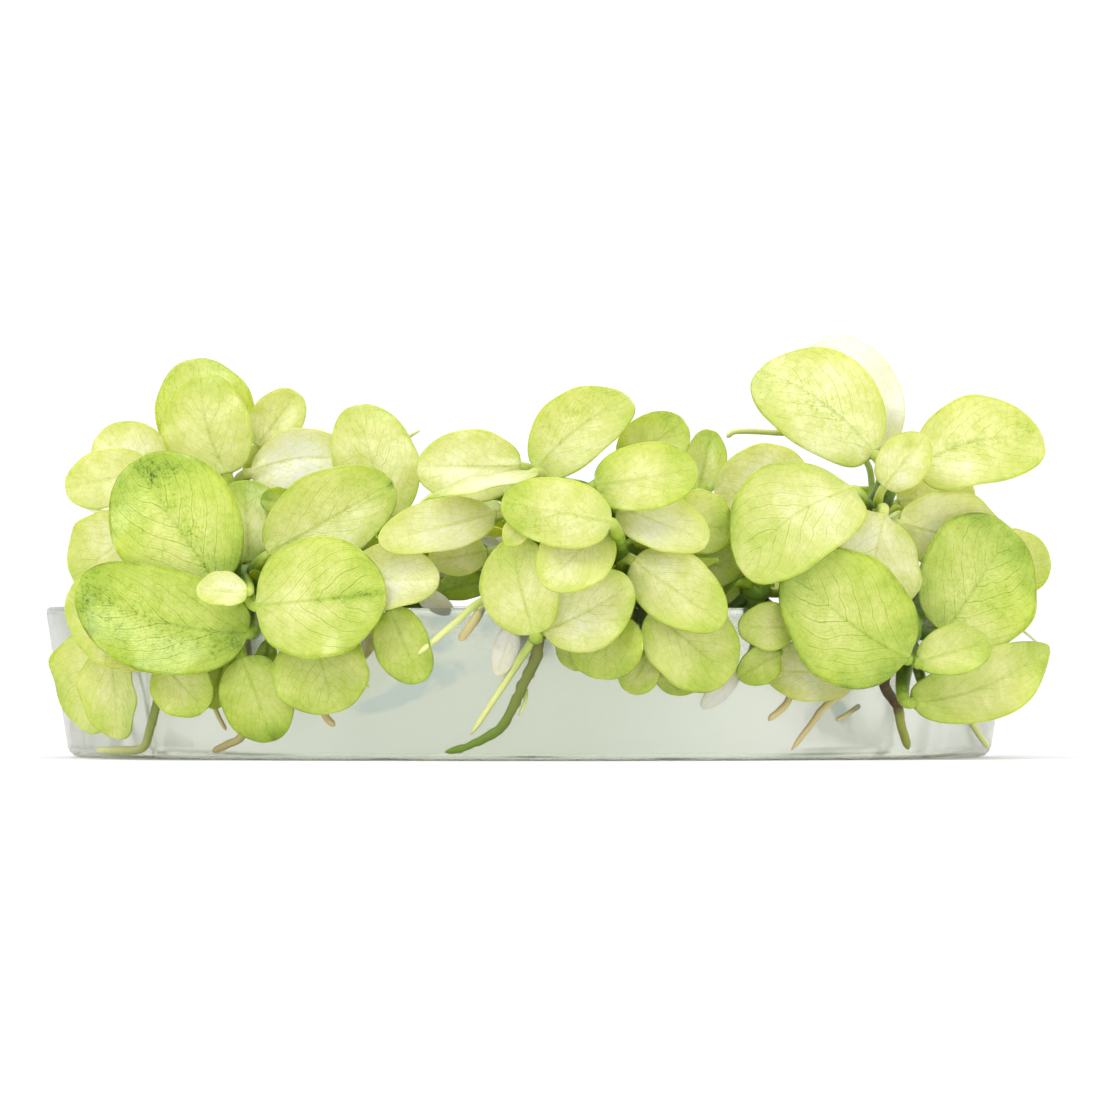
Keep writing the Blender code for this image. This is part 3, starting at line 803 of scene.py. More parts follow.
    def slot(self) -> str:
        """The record's slot for the leaf's tone."""
        return "lime_leaf" if self.tone in (Tone.LIME, Tone.GREEN, Tone.OLIVE) else "pale_leaf"

    def mark_values(self, kind: MarkKind, t: np.ndarray, s: np.ndarray) -> np.ndarray:
        """How strongly the markings of one kind show at each point."""
        value = np.zeros(len(t))
        for mark in self.marks:
            if mark.kind == kind:
                far = ((t - mark.along) / mark.length) ** 2 + ((s - mark.across) / mark.breadth) ** 2
                value = np.maximum(value, mark.strength * np.exp(-far))
        return value


@dataclass
class Root:
    """A root: points along it, and its radius at its start and at its end."""

    points: tuple[Place, ...]
    start_radius: float
    end_radius: float
    finish: str = "root green"
    lumps: float = 0.12

    def shape(self, name: str, skin: Skin) -> bpy.types.Object:
        """Makes the root as a slightly lumpy tube with a rounded tip."""
        path = smooth_path(self.points, skin.rings + 1)
        share = np.linspace(0.0, 1.0, skin.rings + 1)
        radii = self.start_radius + (self.end_radius - self.start_radius) * share
        rounded = np.clip((1 - share) * 14, 0.0, 1.0) ** 0.5 * np.clip(share * 30, 0.0, 1.0) ** 0.5
        places = tube_places(path, radii * rounded, skin, self.lumps)
        return skin.copy(name, places, {"along": share[skin.ring]})


def tube_places(path: np.ndarray, radii: np.ndarray, skin: Skin, lumps: float) -> np.ndarray:
    """Places of the points of a tube round a path.

    Args:
        path: the tube's middle at each ring.
        radii: its radius at each ring.
        skin: the stock whose points are placed.
        lumps: how uneven its skin is, as a share of the radius.

    Returns:
        One place for each of the stock's points.
    """
    ahead = unit(np.gradient(path, axis=0))
    left = [unit(np.array(Vector(ahead[0]).orthogonal()))]
    for before, after in zip(ahead, ahead[1:]):
        left.append(turned(left[-1], before, after))
    lefts = np.array(left)
    ups = np.cross(ahead, lefts)
    k, a = skin.ring, skin.angle[:, None]
    out = lefts[k] * np.cos(a) + ups[k] * np.sin(a)
    rough = [noise.noise(Vector(p)) for p in (path[k] + out * radii[k][:, None]) * 1.4]
    return path[k] + out * (radii[k] * (1 + lumps * np.array(rough)))[:, None]


def leaf(base: Place, tip: Place, width: float, face: Place, bow: float = 0.0,
         **more: object) -> LeafBlade:
    """A leaf that is a CAD node of its own."""
    return LeafBlade(base, tip, width, face, bow, **more)


def small(base: Place, tip: Place, width: float, face: Place, bow: float = 0.0,
          **more: object) -> LeafBlade:
    """A small or hidden leaf, which the CAD has on its rhizome's node."""
    more.setdefault("cup", 0.5)
    more.setdefault("stalk", 0.42)
    return LeafBlade(base, tip, width, face, bow, own=False, **more)


@dataclass
class Spray:
    """Leaves at even turns round a growing point, behind and between the plantlet's other leaves."""

    crown: Place
    count: int
    first: float
    last: float
    low: float = 0.0
    high: float = 35.0
    petiole: float = 4.5
    length: float = 10.5
    width: float = 8.6
    reach: float = 50.5
    at: float = 0.9
    spare_places: int = 14
    shrink: float = 0.965
    tones: tuple[Tone, ...] = (Tone.LIME, Tone.PALE, Tone.PALE, Tone.GREEN, Tone.CREAM, Tone.LIME)

    def tries(self, i: int, chance: random.Random) -> list[LeafBlade]:
        """One leaf of the spray, and what it may be instead where that has no room.

        Args:
            i: which leaf it is.
            chance: the spray's own source of chance.

        Returns:
            The leaf at its best place and size first.
        """
        share = (i + chance.uniform(0.25, 0.75)) / self.count
        turn = self.first + (self.last - self.first) * share
        rise = chance.uniform(self.low, self.high)
        size = chance.uniform(0.85, 1.12)
        roll = chance.uniform(-0.35, 0.35)
        marks = (speckle(0.5, chance.uniform(-0.4, 0.4), 0.3, 0.35, 0.8),) if i % 3 == 1 else ()
        tone = self.tones[i % len(self.tones)]
        extra = {"tone": tone, "marks": marks, "curl": chance.uniform(0.0, 1.5)}
        moves = [(0.0, 0.0)]
        moves += [(chance.uniform(-24, 24), chance.uniform(-10, 20)) for _ in range(self.spare_places)]
        return [self.leaf(turn + a, rise + b, size * self.shrink ** k, roll, extra)
                for k, (a, b) in enumerate(moves)]

    def leaf(self, turn: float, rise: float, size: float, roll: float,
             extra: dict[str, object]) -> LeafBlade:
        """A leaf that heads off at a turn and a rise in degrees, inside the spray's reach."""
        a, b = math.radians(turn), math.radians(rise)
        level = np.array((math.cos(a), math.sin(a), 0.0))
        up = np.array((0.0, 0.0, 1.0))
        out = level * math.cos(b) + up * math.sin(b)
        face = level * -math.sin(b) + up * math.cos(b) + np.cross(level, up) * roll
        while True:
            base = vec(self.crown) + out * (self.petiole * size)
            tip = base + (out * 0.92 + level * 0.2) * (self.length * size)
            if math.hypot(tip[0], tip[1]) < self.reach or size < 0.3:
                break
            size *= 0.94
        return small(tuple(base), tuple(tip), self.width * size, tuple(face), at=self.at, ripple=0.4,
                     **extra)


# Dark tones of the short leaves round the crowns, which paint the shade there
CROWN_SHADE_TONES = (Tone.OLIVE, Tone.GREEN, Tone.LIME, Tone.OLIVE)


def crowded(crown: Place, count: int, at: float = 0.8) -> Spray:
    """Short leaves round the front of a growing point, in dark tones as painted shade at the crown."""
    return Spray(crown, count, 180, 360, -25, 35, petiole=0.9, length=3.8, width=3.6, at=at, tones=CROWN_SHADE_TONES)


def behind(crown: Place, count: int, first: float, last: float, low: float = -5.0, high: float = 25.0,
           **more: object) -> Spray:
    """Leaves that fill the side of a plantlet that the photo doesn't show."""
    return Spray(crown, count, first, last, low, high, **more)


@dataclass
class Plantlet:
    """A rhizome with its roots and leaves."""

    stem: tuple[Place, ...]
    radius: float
    leaves: dict[str, LeafBlade]
    roots: tuple[Root, ...] = ()
    sprays: tuple[Spray, ...] = ()
    buried: int = 0

    stations: int = 5
    swell: float = 0.15
    tip_share: float = 0.6
    scars: float = 9.0
    buried_depths: tuple[float, ...] = (4.0, 7.5, 10.0, 11.3)
    buried_reach: float = 44.5
    wander: float = 0.7
    scar_height: float = 0.06
    buried_finishes: tuple[str, ...] = ("root pale", "root pale", "root tan")

    def shape_stem(self, name: str, skin: Skin) -> bpy.types.Object:
        """Makes the rhizome, swollen in its middle and ringed by the scars of old leaves."""
        path = smooth_path(self.stem, skin.rings + 1)
        share = np.linspace(0.0, 1.0, skin.rings + 1)
        swell = 1 + self.swell * np.sin(np.pi * share)
        swell -= (1 - self.tip_share) * np.clip(share * 4 - 3, 0, 1)
        scars = 1 + self.scar_height * np.abs(np.sin(np.pi * self.scars * share))
        ends = np.clip(share * 16, 0, 1) ** 0.5 * np.clip((1 - share) * 10, 0, 1) ** 0.5
        places = tube_places(path, self.radius * swell * scars * ends, skin, 0.12)
        return skin.copy(f"stem_{name}", places, {"along": share[skin.ring]})

    def grow(self, name: str, skins: dict[str, Skin], finishes: dict[str, bpy.types.Material],
             canopy: Canopy) -> int:
        """Makes and dresses the rhizome, the roots and the leaves of the table.

        Args:
            name: the plantlet's name.
            skins: the stocks for leaves, rhizomes and roots.
            finishes: the materials by name.
            canopy: the blades grown so far.

        Returns:
            How many pieces it made.
        """
        node = f"rhizome_{name}"
        settle(self.shape_stem(name, skins["stem"]), node, "rhizome", finishes["rhizome"])
        path = smooth_path(self.stem, self.stations)
        for key, blade in self.leaves.items():
            title = f"blade_{name}_{key}"
            places = blade.places(title, skins["leaf"], path, self.radius)
            canopy.add(places, skins["leaf"], blade.stalk_rings)
            piece = blade.dress(title, skins["leaf"], places)
            replaced = f"leaf_{name}_{key}" if blade.own else node
            settle(piece, replaced, blade.slot(), finishes[blade.tone.value])
        roots = self.roots + self.buried_roots(name)
        for i, root in enumerate(roots):
            piece = root.shape(f"root_{name}_{i + 1}", skins["root"])
            settle(piece, node, "rhizome", finishes[root.finish])
        return 1 + len(self.leaves) + len(roots)

    def fill(self, name: str, skin: Skin, finishes: dict[str, bpy.types.Material], canopy: Canopy) -> int:
        """Makes and dresses the leaves of the sprays, where they find room.

        Args:
            name: the plantlet's name.
            skin: the stock for the leaves.
            finishes: the materials by name.
            canopy: the blades grown so far.

        Returns:
            How many leaves it made.
        """
        path = smooth_path(self.stem, self.stations)
        made = 0
        for spray in self.sprays:
            chance = random.Random(f"{name} {spray.crown} {spray.count}")
            for i in range(spray.count):
                title = f"blade_{name}_{made + 1}"
                for blade in spray.tries(i, chance):
                    places = blade.places(title, skin, path, self.radius)
                    if not canopy.crossed(places, skin, blade.stalk_rings):
                        canopy.add(places, skin, blade.stalk_rings)
                        piece = blade.dress(title, skin, places)
                        settle(piece, f"rhizome_{name}", blade.slot(), finishes[blade.tone.value])
                        made += 1
                        break
        return made

    def buried_roots(self, name: str) -> tuple[Root, ...]:
        """Roots that wander down through the gel from the rhizome's foot."""
        chance = random.Random(f"{name} roots")
        x, y, z = self.stem[0]
        found = []
        for i in range(self.buried):
            turn = chance.uniform(0, PHASE)
            points = [(x, y, z + 0.5)]
            for depth in self.buried_depths:
                turn += chance.uniform(-self.wander, self.wander)
                step = chance.uniform(1.5, 4.5)
                a, b, _ = points[-1]
                a, b = a + step * math.cos(turn), b + step * math.sin(turn)
                inside = min(1.0, self.buried_reach / math.hypot(a, b))
                points.append((a * inside, b * inside, z - depth * chance.uniform(0.85, 1.0)))
            radius, finish = chance.uniform(0.4, 0.55), chance.choice(self.buried_finishes)
            found.append(Root(tuple(points), radius, 0.25, finish))
        return tuple(found)


def settle(piece: bpy.types.Object, node: str, slot: str, finish: bpy.types.Material) -> None:
    """Gives a piece its finish and its place in the model.

    Args:
        piece: the finished piece.
        node: the CAD node that it stands for.
        slot: the record's slot that its finish belongs to; not used.
        finish: its material.
    """
    piece.data.materials.clear()
    piece.data.materials.append(finish)
    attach(piece, BODY)
    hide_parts(node)


@dataclass
class Rosette:
    """A plantlet behind the front ones: leaves at even turns, the outer ones low, the inner ones high."""

    x: float
    y: float
    start: float
    reach: float = 50.5
    top: float = 18.5
    foot: float = 12.6
    leaves: int = 7
    turn: float = math.radians(137.5)
    stem_radius: float = 1.4
    petiole: float = 4.5
    length: float = 11.0
    width: float = 8.4
    shrink: float = 0.3
    low: float = math.radians(10)
    high: float = math.radians(62)
    buried: int = 2
    tones: tuple[Tone, ...] = (
        Tone.LIME, Tone.PALE, Tone.PALE, Tone.CREAM, Tone.LIME, Tone.PALE, Tone.GREEN,
    )

    def plantlet(self) -> Plantlet:
        """Works out the leaves.

        Returns:
            The plantlet.
        """
        crown = np.array((self.x, self.y, self.top))
        leaves = {}
        for i in range(self.leaves):
            inner = i / (self.leaves - 1)
            turn = self.start + i * self.turn
            rise = self.low + (self.high - self.low) * inner
            size = 1.0 - self.shrink * inner
            level = np.array((math.cos(turn), math.sin(turn), 0.0))
            up = np.array((0.0, 0.0, 1.0))
            out = level * math.cos(rise) + up * math.sin(rise)
            face = level * -math.sin(rise) + up * math.cos(rise)
            base = crown + out * (self.petiole * size)
            tip = base + (out * 0.92 + level * 0.25) * (self.length * size)
            marks = (speckle(0.5, 0.3, 0.3, 0.4, 0.7),) if i % 3 == 0 else ()
            leaves[f"turn_{i}"] = small(tuple(base), tuple(tip), self.width * size, tuple(face),
                                        at=0.55 + 0.35 * inner, tone=self.tones[i], marks=marks)
        stem = ((self.x, self.y, self.foot), (self.x, self.y, self.top))
        middle = (self.x, self.y, self.top - 0.5)
        turn = math.degrees(self.start)
        sprays = (
            Spray(middle, 7, turn, turn + 360, -4, 14, petiole=5.5, length=12.0, width=10.0,
                  reach=self.reach),
            Spray(middle, 5, turn + 25, turn + 385, 25, 42, petiole=4.5, length=10.0, width=9.0,
                  reach=self.reach),
            Spray(middle, 3, turn + 70, turn + 430, 58, 78, petiole=2.6, length=6.5, width=4.6),
            Spray((self.x, self.y, self.top - 3.0), 4, turn + 45, turn + 405, 0, 12, petiole=3.0,
                  length=8.0, width=7.5, tones=(Tone.GREEN, Tone.LIME, Tone.OLIVE)),
        )
        return Plantlet(stem, self.stem_radius, leaves, sprays=sprays, buried=self.buried)


@dataclass
class CulturePuck:
    """The round puck of gel: wider at its top, with a low meniscus where it met the cup, and uneven.

    Each groove is an angle round the puck, in degrees, and a depth.
    """

    base_radius: float = 46.6
    top_radius: float = 49.0
    height: float = 15.5
    sides: int = 240
    layers: int = 12
    rounding: float = 1.1
    meniscus: float = 0.5
    meniscus_breadth: float = 1.2
    top_rings: tuple[float, ...] = (4.0, 8.0, 12.0)
    wave: float = 0.25
    waves_per_metre: float = 90.0
    groove_breadth: float = 1.6
    even_radius: float = 42.0
    uneven_over: float = 4.0
    grooves: tuple[tuple[float, float], ...] = (
        (-144.5, 0.6), (-151.0, 0.25), (-38.5, 0.4), (-31.0, 0.25), (24.0, 0.4), (71.0, 0.3),
        (118.0, 0.4), (163.0, 0.3),
    )

    def build(self) -> bpy.types.Object:
        """Makes the puck.

        Returns:
            Its piece.
        """
        deselect()
        step = self.height / self.layers * MM
        bpy.ops.mesh.primitive_cylinder_add(vertices=self.sides, radius=self.base_radius * MM, depth=step,
                                            location=(0, 0, step / 2))
        puck = bpy.context.object
        puck.name = puck.data.name = "gel_puck"
        bpy.ops.object.transform_apply(location=True, rotation=True, scale=True)
        self.select_top(puck, step / 2)
        bpy.ops.object.mode_set(mode="EDIT")
        bpy.ops.transform.resize(value=self.widening(1), center_override=(0, 0, 0))
        for layer in range(2, self.layers + 1):
            bpy.ops.mesh.extrude_region_move(TRANSFORM_OT_translate={"value": (0, 0, step)})
            bpy.ops.transform.resize(value=self.widening(layer), center_override=(0, 0, 0))
        bpy.ops.mesh.inset(thickness=self.meniscus_breadth * MM)
        bpy.ops.transform.translate(value=(0, 0, -self.meniscus * MM))
        for ring in self.top_rings:
            bpy.ops.mesh.inset(thickness=ring * MM)
        bpy.ops.mesh.poke()
        bpy.ops.object.mode_set(mode="OBJECT")
        rim = puck.modifiers.new("rounding", "BEVEL")
        rim.width, rim.segments, rim.limit_method = self.rounding * MM, 3, "ANGLE"
        bpy.ops.object.modifier_apply(modifier=rim.name)
        self.make_uneven(puck)
        bpy.ops.object.shade_smooth_by_angle(angle=math.radians(50))
        return puck

    def widening(self, layer: int) -> tuple[float, float, float]:
        """How much wider one layer is than the one below it."""
        slope = (self.top_radius - self.base_radius) / self.layers
        ratio = (self.base_radius + slope * layer) / (self.base_radius + slope * (layer - 1))
        return (ratio, ratio, 1.0)

    def make_uneven(self, puck: bpy.types.Object) -> None:
        """Presses soft waves and upright grooves into the wall."""
        places = np.zeros(len(puck.data.vertices) * 3)
        puck.data.vertices.foreach_get("co", places)
        places = places.reshape(-1, 3)
        radius = np.hypot(places[:, 0], places[:, 1])
        angle = np.degrees(np.arctan2(places[:, 1], places[:, 0]))
        outer = np.clip((radius / MM - self.even_radius) / self.uneven_over, 0.0, 1.0)
        press = np.array([noise.noise(Vector(place) * self.waves_per_metre) for place in places])
        press *= self.wave
        for where, depth in self.grooves:
            press += depth * np.exp(-((angle - where) / self.groove_breadth) ** 2)
        share = 1 - np.clip(press, 0.0, 2.0) * outer * MM / np.maximum(radius, MM)
        places[:, :2] *= share[:, None]
        puck.data.vertices.foreach_set("co", places.ravel())
        puck.data.update()

    @staticmethod
    def select_top(piece: bpy.types.Object, above: float) -> None:
        """Selects the faces that lie above a height."""
        mesh = piece.data
        for part in (*mesh.vertices, *mesh.edges):
            part.select = False
        for face in mesh.polygons:
            face.select = all(mesh.vertices[i].co.z > above for i in face.vertices)


@dataclass(frozen=True)
class Lamp:
    """A soft square light: where it hangs, what it faces, its size and its power in watts."""

    name: str
    place: Place
    target: Place
    size: float
    power: float

    def hang(self) -> None:
        """Hangs the light so that it faces its target."""
        lamp = bpy.data.lights.new(self.name, "AREA")
        lamp.size = self.size * MM
        lamp.energy = self.power
        holder = bpy.data.objects.new(self.name, lamp)
        holder.location = Vector(self.place) * MM
        aim = Vector(self.target) - Vector(self.place)
        holder.rotation_euler = aim.to_track_quat("-Z", "Y").to_euler()
        bpy.context.scene.collection.objects.link(holder)


@dataclass
class Studio:
    """Camera, floor and soft light."""

    view_distance: float = 2500.0
    view_x: float = 2.1
    view_height: float = 20.9
    front_plane: float = -30.0
    view_width: float = 110.0
    sensor: float = 36.0
    floor_size: float = 6000.0
    floor_gap: float = 0.05
    room_light: float = 1.07
    lamps: tuple[Lamp, ...] = (
        Lamp("key light", (-350, -600, 650), (0, -10, 15), 380, 2.9),
        Lamp("top light", (100, 200, 700), (0, 0, 15), 500, 1.0),
        Lamp("side light", (700, -350, 260), (0, 0, 20), 350, 0.4),
    )

    def build(self) -> None:
        """Sets up everything that isn't part of the plant."""
        self.place_camera()
        self.lay_floor()
        for lamp in self.lamps:
            lamp.hang()
        world = bpy.data.worlds.new("pale room")
        world.use_nodes = True
        sky = world.node_tree.nodes["Background"]
        sky.inputs["Color"].default_value = (1.0, 1.0, 1.0, 1.0)
        sky.inputs["Strength"].default_value = self.room_light
        bpy.context.scene.world = world
        bpy.context.scene.view_settings.view_transform = "Standard"

    def place_camera(self) -> None:
        """A long lens, level and a little above the gel."""
        camera = bpy.data.cameras.new("camera")
        camera.sensor_width = self.sensor
        camera.lens = self.sensor * self.view_distance / self.view_width
        camera.clip_end = 20.0
        holder = bpy.data.objects.new("camera", camera)
        away = self.front_plane - self.view_distance
        holder.location = Vector((self.view_x, away, self.view_height)) * MM
        holder.rotation_euler = (math.radians(90), 0, 0)
        bpy.context.scene.collection.objects.link(holder)
        bpy.context.scene.camera = holder

    def lay_floor(self) -> None:
        """A wide pale floor under the puck."""
        deselect()
        bpy.ops.mesh.primitive_plane_add(size=self.floor_size * MM, location=(0, 0, -self.floor_gap * MM))
        floor = bpy.context.object
        floor.name = "floor"
        floor.data.materials.append(FloorFinish().make())


def wall(x: float, z: float, out: float = 0.0) -> Place:
    """A point on the front of the gel's wall, moved outwards by out."""
    puck = CulturePuck()
    share = min(max(z / puck.height, 0.0), 1.0)
    radius = puck.base_radius + (puck.top_radius - puck.base_radius) * share + out
    return (x, -math.sqrt(max(radius * radius - x * x, 0.0)), z)


# Tissue of the rhizomes and of the roots
TISSUES = (
    # The rhizome's green is darker than its tissue's own, as painted shade at the crowns
    TissueFinish("rhizome", (0.14, 0.21, 0.018), (0.18, 0.31, 0.025)),
    TissueFinish("root green", (0.35, 0.48, 0.06), (0.72, 0.74, 0.30)),
    TissueFinish("root pale", (0.55, 0.62, 0.22), (0.82, 0.80, 0.55)),
    TissueFinish("root dark", (0.19, 0.19, 0.05), (0.14, 0.25, 0.02), grain=900.0, roughness=0.8),
    TissueFinish("root tan", (0.60, 0.60, 0.24), (0.66, 0.54, 0.26)),
    TissueFinish("root brown", (0.09, 0.05, 0.015), (0.50, 0.54, 0.12), turns_from=0.45, turns_to=0.7),
)


